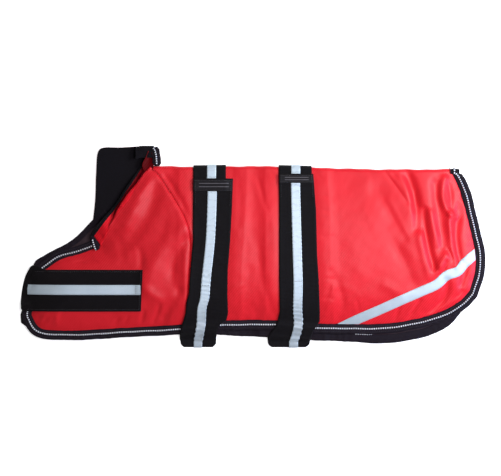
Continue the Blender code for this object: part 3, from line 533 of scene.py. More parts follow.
def blurred(values, reach):
    """The map's mean over reach, in millimetres, either way, twice."""
    for axis in (0, 1, 0, 1):
        values = np.mean([np.roll(values, step, axis) for step in range(-reach, reach + 1)], axis=0)
    return values


def blurred_line(values, reach):
    """A line of values, each the mean of those within reach along it."""
    return np.convolve(np.pad(values, reach, mode="edge"), np.ones(2 * reach + 1) / (2 * reach + 1), "valid")


def resting(plan, reach, soften, gap=GAP):
    """Heights for a layer laid on what is there: over its bumps within reach, softened, never under them."""
    eased = blurred(highest(tops, reach), soften)
    over = np.maximum(sampled(eased, plan[..., 0], plan[..., 1]),
                      sampled(highest(tops, 1), plan[..., 0], plan[..., 1]))
    return over + gap


def rounded(width, thick, count=16, square=0.55):
    """The outline of a flat strip with full round edges, its underside at 0: a squared ellipse."""
    a = (np.arange(count) + 0.5) / count * 2 * np.pi
    across = np.sign(np.cos(a)) * abs(np.cos(a)) ** square
    up = np.sign(np.sin(a)) * abs(np.sin(a)) ** 0.8
    return np.stack([across * width / 2, (up + 1) * thick / 2], axis=1)


def frame_along(line, turn=1):
    """The unit directions across a line in plan, to its right for turn 1, and straight up."""
    sideways = outward(line, -turn) - line[:, :2]
    return np.column_stack([sideways, np.zeros(len(line))]), np.tile([0.0, 0.0, 1.0], (len(line), 1))


class Wire:
    """A socket of a material's nodes. Arithmetic on it adds Math nodes, and node adds any other node."""

    def __init__(self, tree, socket=None):
        self.tree, self.socket = tree, socket

    def node(self, kind, settings, inputs, output=0):
        """A new node: its kind, its settings, the values or wires of its inputs, and the output wanted."""
        made = self.tree.nodes.new("ShaderNode" + kind)
        for name, value in settings.items():
            setattr(made, name, value)
        for name, value in inputs.items():
            if isinstance(value, Wire):
                self.tree.links.new(value.socket, made.inputs[name])
            else:
                made.inputs[name].default_value = value
        return Wire(self.tree, made.outputs[output])

    def math(self, operation, *values):
        """A Math node on values or wires."""
        return self.node("Math", {"operation": operation}, dict(enumerate(values)))

    def __add__(self, other):
        return self.math("ADD", self, other)

    def __sub__(self, other):
        return self.math("SUBTRACT", self, other)

    def __rsub__(self, other):
        return self.math("SUBTRACT", other, self)

    def __mul__(self, other):
        return self.math("MULTIPLY", self, other)

    def __truediv__(self, other):
        return self.math("DIVIDE", self, other)

    __radd__, __rmul__ = __add__, __mul__


def linear(red, green, blue, shade=1.0):
    """A linear colour from the 0 to 255 levels of a screen colour, made lighter or darker by shade."""
    levels = np.array([red, green, blue]) / 255
    straight = np.where(levels <= 0.04045, levels / 12.92, ((levels + 0.055) / 1.055) ** 2.4)
    return (*np.minimum(straight * shade, 1), 1)


def sine(wire, length, phase=0.0):
    """A sine wave from 0 to 1 along a wire that is in metres."""
    return wire.math("SINE", wire * (2 * np.pi / length) + phase) * 0.5 + 0.5


def within(wire, low, high, soft):
    """1 where a wire lies between low and high, with soft ends."""
    up = wire.node("MapRange", {"interpolation_type": "SMOOTHSTEP"},
                   {"Value": wire, "From Min": low - soft, "From Max": low + soft})
    down = wire.node("MapRange", {"interpolation_type": "SMOOTHSTEP"},
                     {"Value": wire, "From Min": high - soft, "From Max": high + soft})
    return up * (1 - down)


def cloud(wire, vector, size, detail=3.0):
    """Soft noise from about 0 to 1 whose patches are about size metres wide."""
    inputs = {"Vector": vector, "Scale": 1 / size, "Detail": detail, "Roughness": 0.55}
    return wire.node("TexNoise", {}, inputs)


def mixed(share, one, other):
    """A colour between two, each a colour or a wire."""
    return share.node("Mix", {"data_type": "RGBA"}, {0: share, 6: one, 7: other}, 2)


def finish(name, rough, sheen=0.0, sheen_rough=0.4, coat=0.0, specular=0.5):
    """A new material, its shader with its plain settings, and the wires of its place and its cloth's u, v."""
    made = bpy.data.materials.new(name)
    made.use_nodes = True
    shader = made.node_tree.nodes["Principled BSDF"]
    shader.inputs["Roughness"].default_value = rough
    shader.inputs["Sheen Weight"].default_value = sheen
    shader.inputs["Sheen Roughness"].default_value = sheen_rough
    shader.inputs["Coat Weight"].default_value = coat
    shader.inputs["Specular IOR Level"].default_value = specular
    start = Wire(made.node_tree)
    place = start.node("TexCoord", {}, {}, "Object")
    along = start.node("UVMap", {"uv_map": "cloth"}, {})
    u, v = (start.node("SeparateXYZ", {}, {"Vector": along}, axis) for axis in "XY")
    return made, shader, place, u, v


def colour(shader, wire):
    """Links a wire to the shader's colour."""
    wire.tree.links.new(wire.socket, shader.inputs["Base Color"])


def roughen(shader, wire):
    """Links a wire to the shader's roughness."""
    wire.tree.links.new(wire.socket, shader.inputs["Roughness"])


def emboss(shader, wire, depth, strength=1.0):
    """A bump of the wire's height, depth metres at 1."""
    bump = wire.node("Bump", {}, {"Height": wire, "Distance": depth, "Strength": strength})
    wire.tree.links.new(bump.socket, shader.inputs["Normal"])


def red_nylon(name="red coated nylon", shade=1.0, painted_fold_shade=None, glossy=True):
    """Coated nylon: a fine diagonal weave of two crossed sine waves, slight clouding and fine crinkles.

    Its third argument gives painted shade: the v, in metres, past which the colour darkens for the cloth
    folded away from the light, the u where that begins, and a second u past which all of it darkens.
    """
    sheen, coat, specular = (0.05, 0.19, 0.16) if glossy else (0.0, 0.0, 0.04)
    made, shader, place, u, v = finish(name, 0.6, sheen, 0.4, coat=coat, specular=specular)
    shader.inputs["Coat Roughness"].default_value = 0.38
    x, y = (u.node("SeparateXYZ", {}, {"Vector": place}, axis) for axis in "XY")
    slant, cross = sine(x * 0.78 - y * 0.62, 3.0 * MM), sine(x * 0.5 + y * 0.87, 2.6 * MM)
    weave = slant * 0.65 + slant * cross * 0.35
    patchy, fine = cloud(u, place, 60 * MM), cloud(u, place, 6 * MM, 4)
    crinkle = cloud(u, place, 9 * MM, 2)
    deep, light = linear(198, 12, 24, shade), linear(229, 26, 42, shade)
    base = mixed((patchy * 0.6 + fine * 0.4 - 0.25) * 1.6, deep, light)
    base = mixed(weave * 0.36, base, linear(246, 58, 70, shade))
    # Painted shade: a deep red band where the collar folds away from the light.
    if painted_fold_shade:
        low, start, end = painted_fold_shade
        shaded = within(v, low, 1, 0.8 * MM) * within(u, start, 1, 9 * MM) + within(u, end, 1, 2 * MM)
        base = mixed(shaded, base, linear(112, 8, 18))
    colour(shader, base)
    roughen(shader, 0.46 + patchy * 0.1 - weave * 0.04)
    emboss(shader, weave * 0.35 + crinkle + fine * 0.4, 0.45 * MM, 0.75)
    return made


def black_cloth(name, tint, rough, pitch, mesh=0.0):
    """Black woven cloth: warp and weft as crossed sine waves, clouded, with dark holes where it is a mesh."""
    made, shader, place, u, v = finish(name, rough, sheen=0.02, sheen_rough=0.5, specular=0.12)
    warp, weft = sine(u, pitch), sine(v, pitch)
    weave = warp * weft
    patchy = cloud(u, place, 30 * MM)
    pale = linear(*[level * 1.5 + 8 for level in tint])
    base = mixed(patchy * 0.7 + weave * 0.3, linear(*tint), pale)
    colour(shader, mixed(weave * mesh, base, (0.003, 0.003, 0.004, 1)) if mesh else base)
    roughen(shader, rough + patchy * 0.15 - 0.05)
    emboss(shader, weave + patchy * 0.4, 0.22 * MM, 0.7)
    return made


def ribbed_elastic():
    """Wide belly elastic: fine ribs along its length, crossed by short picks that wander from rib to rib."""
    made, shader, place, u, v = finish("ribbed elastic", 0.6, sheen=0.01, sheen_rough=0.45, specular=0.12)
    ribs, picks = sine(u, 1.6 * MM), sine(v + sine(u, 3.2 * MM) * 0.4 * MM, 1.1 * MM)
    patchy = cloud(u, place, 25 * MM)
    weave = ribs * 0.65 + picks * 0.35
    base = mixed(weave * 0.75 + patchy * 0.25, linear(4, 3, 5), linear(20, 17, 20))
    colour(shader, base)
    roughen(shader, 0.6 + patchy * 0.2)
    emboss(shader, weave, 0.3 * MM, 0.8)
    return made


def reflective(name, shade=1.0, painted_gather_shade=0.0):
    """Reflective tape: fine glass beads under a crossed mesh, silver grey with brighter and duller patches.

    Its third argument gives painted shade: thin grey lines across it for the shade in its gathers, and its
    far part duller, also painted shade.
    """
    made, shader, place, u, v = finish(name, 0.38, specular=0.7)
    mesh = sine(u + v, 1.3 * MM) * sine(u - v, 1.3 * MM)
    patchy, grain = cloud(u, place, 18 * MM), cloud(u, place, 0.7 * MM, 2)
    base = mixed(patchy * 0.5 + mesh * 0.35 + grain * 0.15, linear(181, 200, 212, shade),
                 linear(228, 243, 250, shade))
    wander = cloud(u, place, 9 * MM, 2)
    # Painted shade: grey lines across the tape in its gathers.
    line = sine(v + u * 0.12 + wander * 14 * MM, 9.5 * MM)
    line = line.math("POWER", line, 12.0) * (wander * 1.6 - 0.4)
    base = mixed(line * painted_gather_shade, base, linear(96, 104, 116))
    if painted_gather_shade:
        # Painted shade that dulls the tape's far part.
        base = mixed(within(v, 0.19, 1, 0.035) * (patchy * 0.9 + 0.1), base, linear(140, 148, 154))
    colour(shader, base)
    shader.inputs["Metallic"].default_value = 0.15
    roughen(shader, 0.3 + patchy * 0.2 + grain * 0.1)
    emboss(shader, mesh * 0.6 + grain * 0.4 + patchy * 1.5, 0.12 * MM, 0.8)
    return made


def beaded_piping():
    """Reflective piping: a woven sleeve over a cord, silver, with a darker line between its beads."""
    made, shader, place, u, v = finish("beaded reflective piping", 0.35, specular=0.7)
    beads, twist = sine(v, BEAD), sine(v + u * 0.8, 0.8 * MM)
    patchy = cloud(u, place, 12 * MM)
    colour(shader, mixed(beads * 1.4 + patchy * 0.2 - 0.35, linear(44, 42, 50), linear(236, 240, 246)))
    roughen(shader, 0.28 + patchy * 0.2)
    emboss(shader, twist + patchy, 0.15 * MM, 0.7)
    return made


def loop_cloth():
    """The loop side of hook and loop: short curled fibres as fine noise, matt, with brushed patches."""
    made, shader, place, u, _ = finish("black loop cloth", 0.85, sheen=0.03, sheen_rough=0.6, specular=0.08)
    curls, fuzz = cloud(u, place, 1.1 * MM, 5), cloud(u, place, 22 * MM)
    colour(shader, mixed(curls * 0.7 + fuzz * 0.5 - 0.1, linear(3, 3, 4), linear(24, 19, 22)))
    roughen(shader, 0.75 + curls * 0.2)
    emboss(shader, curls, 0.6 * MM, 0.8)
    return made


def woven_label(name, first, second, end):
    """A bare satin label: fine lines across it, and two plain woven lines at v first and second."""
    made, shader, place, u, v = finish(name, 0.55, sheen=0.04, sheen_rough=0.4, specular=0.18)
    satin, picks = sine(v, 0.5 * MM), sine(u, 0.7 * MM)
    patchy = cloud(u, place, 14 * MM)
    cloth = mixed(satin * 0.4 + picks * 0.2 + patchy * 0.4, linear(6, 5, 7), linear(24, 21, 25))
    upper, lower = (within(v, at - 0.4 * MM, at + 0.4 * MM, 0.2 * MM) for at in (first, second))
    lines = (upper + lower) * (0.45 + picks * 0.3)
    lines = lines * within(u, 8.5 * MM, end, 0.5 * MM)
    colour(shader, mixed(lines, cloth, linear(122, 118, 124)))
    roughen(shader, 0.45 + patchy * 0.2)
    emboss(shader, satin * 0.7 + picks * 0.3, 0.1 * MM, 0.8)
    return made


def thread(name, red, green, blue):
    """Sewing thread: two plies twisted, as slanted stripes along each stitch."""
    made, shader, _, u, v = finish(name, 0.6, sheen=0.3, specular=0.4)
    plies = sine(v + u, 0.5 * MM)
    colour(shader, mixed(plies, linear(red * 0.7, green * 0.7, blue * 0.7), linear(red, green, blue)))
    roughen(shader, 0.5 + plies * 0.2)
    return made


RED = red_nylon()
# The fronts' red is 0.92 of the back's: painted shade for the light falling off towards the chest.
FRONT_RED_PAINTED_SHADE = red_nylon("red nylon of the fronts with painted shade", 0.92)
# A red at 0.13 of the back's, without gloss: painted shade for the fold at the spine.
FOLD_RED_PAINTED_SHADE = red_nylon("red nylon darkened as painted shade in the fold", 0.13, glossy=False)
# The collar's red, a little darker, with a band of painted shade past its crest and over its top end.
COLLAR_RED_PAINTED_SHADE = red_nylon("red nylon of the collar with painted shade", 0.97, (8.0 * MM, 46 * MM, 118 * MM), glossy=False)
LINING_CLOTH = black_cloth("black mesh lining", (42, 32, 36), 0.8, 2.2 * MM, mesh=0.6)
COLLAR_CLOTH = black_cloth("black collar lining", (9, 7, 11), 0.8, 0.9 * MM)
BINDING_CLOTH = black_cloth("black grosgrain binding", (15, 9, 16), 0.6, 0.8 * MM)
BASE_WEBBING = black_cloth("black webbing", (7, 6, 8), 0.7, 1.2 * MM)
ELASTIC, LOOPS = ribbed_elastic(), loop_cloth()
LABELS = {"strap_front": woven_label("bare front label", 5.6 * MM, 10.6 * MM, 53 * MM),
          "strap_rear": woven_label("bare rear label", 4.0 * MM, 7.6 * MM, 44 * MM)}
# The strap tape carries painted shade in its gathers and on its far part.
STRAP_SILVER = reflective("reflective strap tape", 0.93, 0.35)
TAIL_SILVER = reflective("reflective tail tape", 0.78)
CHEST_SILVER = reflective("reflective chest tape", 0.86)
BEADS = beaded_piping()
BLACK_THREAD, RED_THREAD = thread("black thread", 46, 42, 48), thread("red thread", 226, 44, 58)
SILVER_THREAD = thread("grey thread", 190, 196, 206)


def folded_back(name, inset, thick, look, slot, replaced):
    """One cloth round the spine: the near half, half an ellipse at the fold, and the flat far half.

    inset is how far its outer side lies inside the shell's outer side. It goes along the normal round the
    fold, more downwards than that on the near half, and straight up on the far half. Neither side goes lower
    than it would on the floor.
    """
    z = shell_height(near_plan[..., 0], near_plan[..., 1])
    near = at_z(near_plan, z)
    far = at_z(far_plan, low_height(far_plan[..., 0], far_plan[..., 1]))
    a = np.linspace(0, np.pi, ARC_ROWS + 1)[1:-1, None]
    middle, half = (near[0, :, 2] + far[0, :, 2]) / 2, (near[0, :, 2] - far[0, :, 2]) / 2
    wave = 1 + 0.05 * np.sin(near[0, :, 0] / (11 * MM)) + 0.04 * np.sin(near[0, :, 0] / (4.7 * MM) + 2)
    turn = np.stack([np.broadcast_to(near[0, :, 0], (len(a), BACK_COLUMNS)),
                     near[0, :, 1] + SPINE_RADIUS * wave * np.sin(a), middle + half * np.cos(a)], axis=2)
    outer = np.concatenate([near[::-1], turn, far])
    normal = normals(outer)
    normal *= np.sign(-normal[NEAR_ROWS // 2, BACK_COLUMNS // 2, 2])
    normal[:NEAR_ROWS, :, :2] *= 0.4
    normal[-FAR_ROWS:] = [0, 0, 1]
    sides = [outer + deep * normal for deep in (inset, inset + thick)]
    for side, low in zip(sides, (inset, inset + thick)):
        side[..., 2] = np.maximum(side[..., 2], low)
    return wall(name, *sides, look, slot, replaced)


def fronts():
    """The near and the far front panel and their lining, each a flat patch laid at its height."""
    z = shell_height(front_near_plan[..., 0], front_near_plan[..., 1])
    near = at_z(front_near_plan, z)
    far = at_z(front_far_plan, low_height(front_far_plan[..., 0], front_far_plan[..., 1]))
    down, up = np.array([0, 0, -1.0]), np.array([0, 0, 1.0])
    inner = CLOTH + LINING_GAP
    return {
        "shell_front_near": wall("shell_front_near", near, near + CLOTH * down, FRONT_RED_PAINTED_SHADE, "red_shell",
                                 ["front_near"]),
        "lining_front_near": wall("lining_front_near", near + inner * down, near + (inner + LINING) * down,
                                  LINING_CLOTH, "black_lining"),
        "shell_front_far": wall("shell_front_far", far + CLOTH * up, far, FRONT_RED_PAINTED_SHADE, "red_shell",
                                ["front_far"]),
        "lining_front_far": wall("lining_front_far", far + LINING_TOP * up, far + LINING_BOTTOM * up,
                                 LINING_CLOTH, "black_lining", ["lining_front"]),
    }


shell_back = folded_back("shell_back", 0, CLOTH, RED, "red_shell", ["back_panel"])
inner_back = folded_back("lining_back_folded", CLOTH + LINING_GAP, LINING, LINING_CLOTH, "black_lining",
                         ["lining_back", "hidden_layers"])
front_pieces = fronts()

for plan in (near_plan, front_near_plan):
    stamp(at_z(plan, shell_height(plan[..., 0], plan[..., 1])))
for plan in (far_plan, front_far_plan):
    stamp(at_z(plan, LINING_TOP + lift(plan[..., 0], plan[..., 1])))


def spine_turn(x, y, z_near, z_far, radius, count=14):
    """A strip's line round the spine, half an ellipse in a plane across it, and its outward direction."""
    a = np.linspace(0, np.pi, count)
    middle, half = (z_near + z_far) / 2, (z_near - z_far) / 2
    centre = np.column_stack([np.full(count, x), y + radius * np.sin(a), middle + half * np.cos(a)])
    return centre, np.column_stack([np.zeros(count), np.sin(a), np.cos(a)])


def joined(*runs):
    """Runs of points, one after the other."""
    return np.concatenate(runs)


def round_ring(size, count=8):
    """The outline of a round cord, its underside at 0."""
    a = np.arange(count) / count * 2 * np.pi
    return np.stack([np.cos(a), np.sin(a) + 1], axis=1) * size / 2


def beaded(name, line, up, replaced):
    """Piping along a line: a round cord whose thickness swells at each bead, as a sine wave."""
    length = np.linalg.norm(np.diff(line, axis=0), axis=1).sum()
    fine = even(np.hstack([line, up * MM]), int(length / (0.6 * MM)))
    up = fine[:, 3:] / np.linalg.norm(fine[:, 3:], axis=1, keepdims=True)
    fine = fine[:, :3]
    across = np.cross(np.gradient(fine, axis=0), up)
    across /= np.linalg.norm(across, axis=1, keepdims=True)
    bead = (1 + 0.15 * np.sin(np.arange(len(fine)) * length / len(fine) * 2 * np.pi / BEAD))[:, None]
    sweep(name, fine, across * bead, up * bead, round_ring(PIPING), BEADS, replaced)
    stamp(np.stack([fine - across * MM, fine + up * PIPING, fine + across * MM], axis=1))


def binding(name, edge, under, width, replaced, piping=None, flush=False, middle=0.0, extra=0.0):
    """A binding folded over a panel's edge, its puckers uneven, and the beaded piping sewn along its middle.

    Where it is flush, its first end is cut along the spine, so its direction across turns to +X there. middle
    is how far outwards the piping lies from the binding's middle, and extra is a binding's added width.
    """
    out = outward(edge, 1) - edge
    if flush:
        left = np.linalg.norm(edge - edge[0], axis=1)[:, None]
        out = out + ([1.0, 0.0] - out) * (1 - smooth(left / (30 * MM)))
        out /= np.linalg.norm(out, axis=1, keepdims=True)
    path = edge + out * ((width + extra) / 2 + 0.8 * MM)
    along = np.concatenate([[0], np.cumsum(np.linalg.norm(np.diff(path, axis=0), axis=1))])
    run = np.linspace(0, along[-1], int(along[-1] / (0.9 * MM)))
    line = np.stack([np.interp(run, along, value) for value in (*path.T, under)], axis=1)
    across = np.stack([np.interp(run, along, value) for value in out.T] + [run * 0], axis=1)
    up = straight_up(len(line))
    calm = np.minimum(1, run / (12 * MM))
    pucker = np.sin(run / (1.9 * MM) + 1.5 * np.sin(run / (13 * MM))) * (0.6 + 0.4 * np.sin(run / (29 * MM)))
    wander = (0.35 * MM * np.sin(run / (17 * MM)) + 0.2 * MM * np.sin(run / (6.3 * MM) + 1)) * calm
    line = line + up * (0.16 * MM * pucker * calm)[:, None] + across * wander[:, None]
    section = rounded(width + extra + 2.6 * MM, BINDING_THICK)
    sweep(name, line, across * (1 + 0.02 * pucker[:, None]), up, section, BINDING_CLOTH,
          [replaced])
    sides = np.linspace(-width / 2, width / 2, 9)
    crown = BINDING_THICK * (1 - 0.3 * (2 * sides / width) ** 4)
    stamp(np.stack([line + across * side + up * rise for side, rise in zip(sides, crown)], axis=1))
    top = line + up * (BINDING_THICK - 0.6 * MM) + across * middle
    if piping:
        start, up_start = top[:1], up[:1]
        if flush:
            turn = spine_turn(top[0, 0], top[0, 1], top[0, 2], 2.7 * MM, SPINE_RADIUS + 0.6 * MM, 20)
            start, up_start = turn[0][::-1], turn[1][::-1]
        beaded(piping[0], joined(start, top[1:]), joined(up_start, up[1:]), [piping[1]])
    return line, across, up


def hem_edge(front, edge):
    """A panel's hem from the spine to the chest, and up the front's edge as far as the hem's binding goes."""
    chest = front[front[:, 0, 1] < -88 * MM, 0]
    return joined(chest[:-1], edge)[::-1]


def bindings():
    """The bindings of both halves, the turn that joins them at the spine, and the neck's."""
    near, far = hem_edge(front_near_plan, near_edge), hem_edge(front_far_plan, far_edge)
    far_half = tops * (tops < 5.3 * MM)
    low = sampled(highest(far_half, 6), near[:, 0], near[:, 1]) + 0.4 * MM
    under = blurred_line(np.maximum(shell_height(near[:, 0], near[:, 1]) - 2.5 * MM, low), 6)
    binding("hem_binding_far_folded", far, lift(far[:, 0], far[:, 1]) + 0.2 * MM, BINDING_WIDTH,
            "hem_binding_far", flush=True)
    hem = binding("hem_binding_near_folded", near, under, BINDING_WIDTH, "hem_binding_near",
                  ("hem_piping_beaded", "hem_piping"), flush=True, middle=-0.6 * MM, extra=1.6 * MM)
    centre, up = spine_turn(hem[0][0, 0], hem[0][0, 1], hem[0][0, 2], 3.05 * MM, SPINE_RADIUS - 2.2 * MM)
    sweep("hem_binding_spine_turn", centre, np.tile([1.0, 0, 0], (len(centre), 1)), up,
          rounded(BINDING_WIDTH + 4.2 * MM, BINDING_THICK), BINDING_CLOTH)
    neck_near = even(joined(front_near_plan[:22, 0][::-1], front_near_plan[0, 1:NECK_COLUMNS - 1]), 90)
    neck = binding("neck_binding_near_folded", neck_near,
                   shell_height(neck_near[:, 0], neck_near[:, 1]) - 2.5 * MM, BINDING_WIDTH,
                   "neck_binding_near", ("neck_piping_beaded", "neck_piping"), middle=-1.1 * MM)
    neck_far = even(joined(front_far_plan[:8, 0][::-1], front_far_plan[0, 1:NECK_COLUMNS + 14]), 90)
    binding("neck_binding_far_folded", neck_far, np.full(90, 0.2 * MM), BINDING_WIDTH / 2 + 1.5 * MM,
            "neck_binding_far")
    return hem, neck


hem_run, neck_run = bindings()

# The short stretch of the far hem's piping that shows below the near hem
glimpse = even(np.array([(157, -130.8, 2.1), (170, -131.2, 2.3), (181.5, -131.4, 2.1)]) * MM, 30)
beaded("far_piping_glimpse", glimpse, straight_up(30), [])


def laid(name, plan, thick, look, slot, replaced):
    """A thin layer sewn on to what is there, its thickness upwards."""
    under = at_z(plan, resting(plan, 1, 1, SEWN_GAP))
    stamp(under + [0, 0, thick])
    return wall(name, under + [0, 0, thick], under, look, slot, replaced)


def half_turn(start, low, radius, thick, direction, rows=12, soft=0.0):
    """Outer and inner rows of a fold from the last upper row round to the floor side, half an ellipse.

    soft draws the fold's tip in towards its middle by the cube of the sine, which rounds its corners in plan.
    """
    middle, half = (start[:, 2] + low) / 2, (start[:, 2] - low) / 2
    a = np.linspace(0, np.pi, rows + 1)[1:-1, None, None]
    centre = start[:, :2].mean(0)
    across = np.abs(np.array(direction)[::-1])
    made = []
    for grow in (thick, 0):
        side = start[None, :, :2] + np.array(direction) * (radius + grow) * np.sin(a)
        side = side - (start[None, :, :2] - centre) * across * soft * np.sin(a) ** 3
        made.append(np.concatenate([side, (middle + (half + grow) * np.cos(a[..., 0]))[..., None]], axis=2))
    return made


def strap_edges(strap, y):
    """The left and right edge of a strap's band at some y."""
    rows = strap["edges"].T * MM
    return np.interp(-y, -rows[0], rows[1]), np.interp(-y, -rows[0], rows[2])


def across_strap(strap, ys, columns=25):
    """A grid in plan on a strap's band: a row at each y, from its left edge to its right one."""
    left, right = (side[:, None] for side in strap_edges(strap, ys))
    return np.stack([left + (right - left) * np.linspace(0, 1, columns),
                     np.broadcast_to(ys[:, None], (len(ys), columns))], axis=2)


def gathers(x, y):
    """The elastic's uneven gathers, -1 to 1: waves of 6 to 7 mm along it that drift and fade across it."""
    drift = 2.4 * MM * np.sin(y / (13 * MM)) + 0.12 * x
    wave = np.sin(2 * np.pi * (y + drift) / (6.4 * MM))
    return wave * (0.6 + 0.4 * np.sin(y / (17 * MM) + x / (9 * MM)))


def tape_plan(line, width=TAPE_WIDTH, columns=9):
    """A grid along a line in plan, columns across its width."""
    sides = np.linspace(-width / 2, width / 2, columns)
    return np.stack([outward(line, side) for side in sides], axis=1)


def at_y(line, y):
    """The x of a line in plan at some y."""
    order = np.argsort(line[:, 1])
    return np.interp(y, line[order, 1], line[order, 0])


def strap_base(name, strap):
    """A strap's base: from the band's end over the spine, in half an ellipse, on to the far side."""
    x = np.linspace(*strap["base"], 21) * MM
    top_y = np.interp(x, fold_line[:, 0], fold_line[:, 1])
    v = np.linspace(0, 1, 16)[:, None]
    low_y = (strap["end"] - 14) * MM
    plan = np.stack([np.broadcast_to(x, (16, 21)), low_y + (top_y - low_y) * v], axis=2)
    near = at_z(plan, resting(plan, 2, 2))
    stamp(near + [0, 0, WEBBING])
    outer, inner = half_turn(near[-1], WEBBING, SPINE_RADIUS + 0.8 * MM, WEBBING, (0, 1))
    far = at_z(np.stack([plan[-1], plan[-1] * [1, 0] + [0, STRAP_FAR_END + 0.5 * MM]]), WEBBING)
    return wall(name + "_base_webbing", joined(near + [0, 0, WEBBING], outer, far - [0, 0, WEBBING]),
                joined(near, inner, far), BASE_WEBBING, "webbing", [name + "_base"])


def strap_band(name, strap):
    """A strap's elastic band: down the near side, round the belly in half an ellipse, and up the far side."""
    ys = np.linspace(strap["end"] * MM, STRAP_BOTTOM + STRAP_TURN, 190)
    plan = across_strap(strap, ys)
    near = at_z(plan, resting(plan, 3, 4) + 0.12 * MM * (1 + gathers(plan[..., 0], plan[..., 1])))
    stamp(near + [0, 0, WEBBING])
    outer, inner = half_turn(near[-1], WEBBING, STRAP_TURN - WEBBING, WEBBING, (0, -1), 16, 0.2)
    far = at_z(across_strap(strap, np.linspace(ys[-1], STRAP_FAR_END, 40)), WEBBING)
    return wall(name + "_elastic", joined(near + [0, 0, WEBBING], outer, far - [0, 0, WEBBING]),
                joined(near, inner, far), ELASTIC, "webbing", [name + "_band"])


def strap_tape_line(strap, below, above, count):
    """The centre line of a strap's tape, from below its label to above its turn at the belly."""
    low, high = STRAP_BOTTOM + STRAP_TURN + above, strap["label"][1] * MM - below
    return even(clipped(through(strap["tape"], 60), 1, low, high), count)


def strap_tapes(name, strap):
    """A strap's two tapes: a gathered one down the band and round the belly, and one over the base."""
    line = strap_tape_line(strap, 0.5 * MM, 0, 190)
    sides = np.linspace(-STRAP_TAPE_WIDTH / 2, STRAP_TAPE_WIDTH / 2, 11)
    tighter = 1 + 1.6 * smooth((-line[:, 1:] - 62 * MM) / (50 * MM))
    pull = gathers(line[:, :1] + sides, line[:, 1:]) * tighter
    plan = np.stack(np.broadcast_arrays(line[:, :1] + sides * (1 + 0.035 * pull), line[:, 1:]), axis=2)
    tape = at_z(plan, resting(plan, 1, 1, SEWN_GAP) + 0.13 * MM * np.maximum(pull + 1, 0))
    outer, inner = half_turn(tape[-1], 0.4 * MM, STRAP_TURN + 0.2 * MM, TAPE, (0, -1))
    wall(name + "_silver_tape", joined(tape + [0, 0, TAPE], outer), joined(tape, inner), STRAP_SILVER,
         "reflective_tape", [name + "_tape"])
    stamp(tape + [0, 0, TAPE])
    x = strap["tape"][0][0] * MM
    ys = np.linspace((strap["end"] + 0.8) * MM, np.interp(x, fold_line[:, 0], fold_line[:, 1]), 8)
    plan = tape_plan(np.column_stack([np.full(8, x), ys]), STRAP_TAPE_WIDTH)
    near = at_z(plan, resting(plan, 1, 1, SEWN_GAP))
    outer, inner = half_turn(near[-1], 0.5 * MM, SPINE_RADIUS + WEBBING + 1.4 * MM, TAPE, (0, 1))
    wall(name + "_base_silver_tape", joined(near + [0, 0, TAPE], outer), joined(near, inner), STRAP_SILVER,
         "reflective_tape", [name + "_base_tape"])


def strap_pieces(name, strap):
    """A belly strap: its base, its band, the label at the band's end, and its tapes."""
    base, band = strap_base(name, strap), strap_band(name, strap)
    ys = np.linspace(*strap["label"], 14) * MM
    laid(name + "_woven_label", across_strap(strap, ys, 30), LABEL, LABELS[name], "woven_label",
         [name + "_label"])
    strap_tapes(name, strap)
    return band, base


def chest_flap():
    """The flap: from the near front to its fold at the chest, and back under to the far front's edge.

    Its top corner at the fold is drawn up by 7 mm, which fades downwards as a cube and along the last tenth.
    """
    v = np.linspace(FLAP_TOP, FLAP_BOTTOM, 36)
    fold, far = at_y(through(FLAP_FOLD, 30), v) + STRAP_TURN, at_y(through(FLAP_FAR, 30), v)
    u = np.linspace(0, 1, 96)[:, None]
    end = np.linspace(FLAP_END + 3.4 * MM, FLAP_END, 36)
    drawn_up = 7 * MM * np.linspace(1, 0, 36) ** 3 * smooth((u - 0.9) / 0.1)
    plan = np.stack([end + (fold - end) * u, v + drawn_up], axis=2)
    near = at_z(plan, resting(plan, 3, 4))
    stamp(near + [0, 0, WEBBING])
    outer, inner = half_turn(near[-1], WEBBING, STRAP_TURN - WEBBING, WEBBING, (-1, 0), 16, 0.1)
    under = at_z(np.stack([plan[-1], np.column_stack([far - 1 * MM, plan[-1, :, 1]])]), WEBBING)
    made = wall("chest_loop_flap", joined(near + [0, 0, WEBBING], outer, under - [0, 0, WEBBING]),
                joined(near, inner, under), LOOPS, "hook_and_loop", ["chest_flap"])
    line = np.column_stack([np.linspace(FLAP_END, fold.min() + 1 * MM, 90), np.full(90, CHEST_TAPE_Y)])
    laid("chest_silver_tape", tape_plan(line), TAPE, CHEST_SILVER, "reflective_tape", ["chest_tape"])
    return made


bands = [strap_pieces(name, strap) for name, strap in STRAPS.items()]
flap = chest_flap()


def tail_tape():
    """The plan of the flank's tape: each line of it runs from the hem to the tail's edge."""
    lines = []
    for side in np.linspace(-TAPE_WIDTH / 2, TAPE_WIDTH / 2, 9):
        line = outward(through(TAIL_TAPE, 700), side)
        inside = line[:, 1] > np.interp(line[:, 0], *near_plan[-1].T) + 0.4 * MM
        inside &= line[:, 0] < np.interp(-line[:, 1], -near_plan[:, -1, 1], near_plan[:, -1, 0]) - 0.4 * MM
        lines.append(even(line[inside], 150))
    return np.stack(lines, axis=1)


tail_plan = tail_tape()
laid("tail_silver_tape", tail_plan, TAPE, TAIL_SILVER, "reflective_tape", ["tail_tape"])


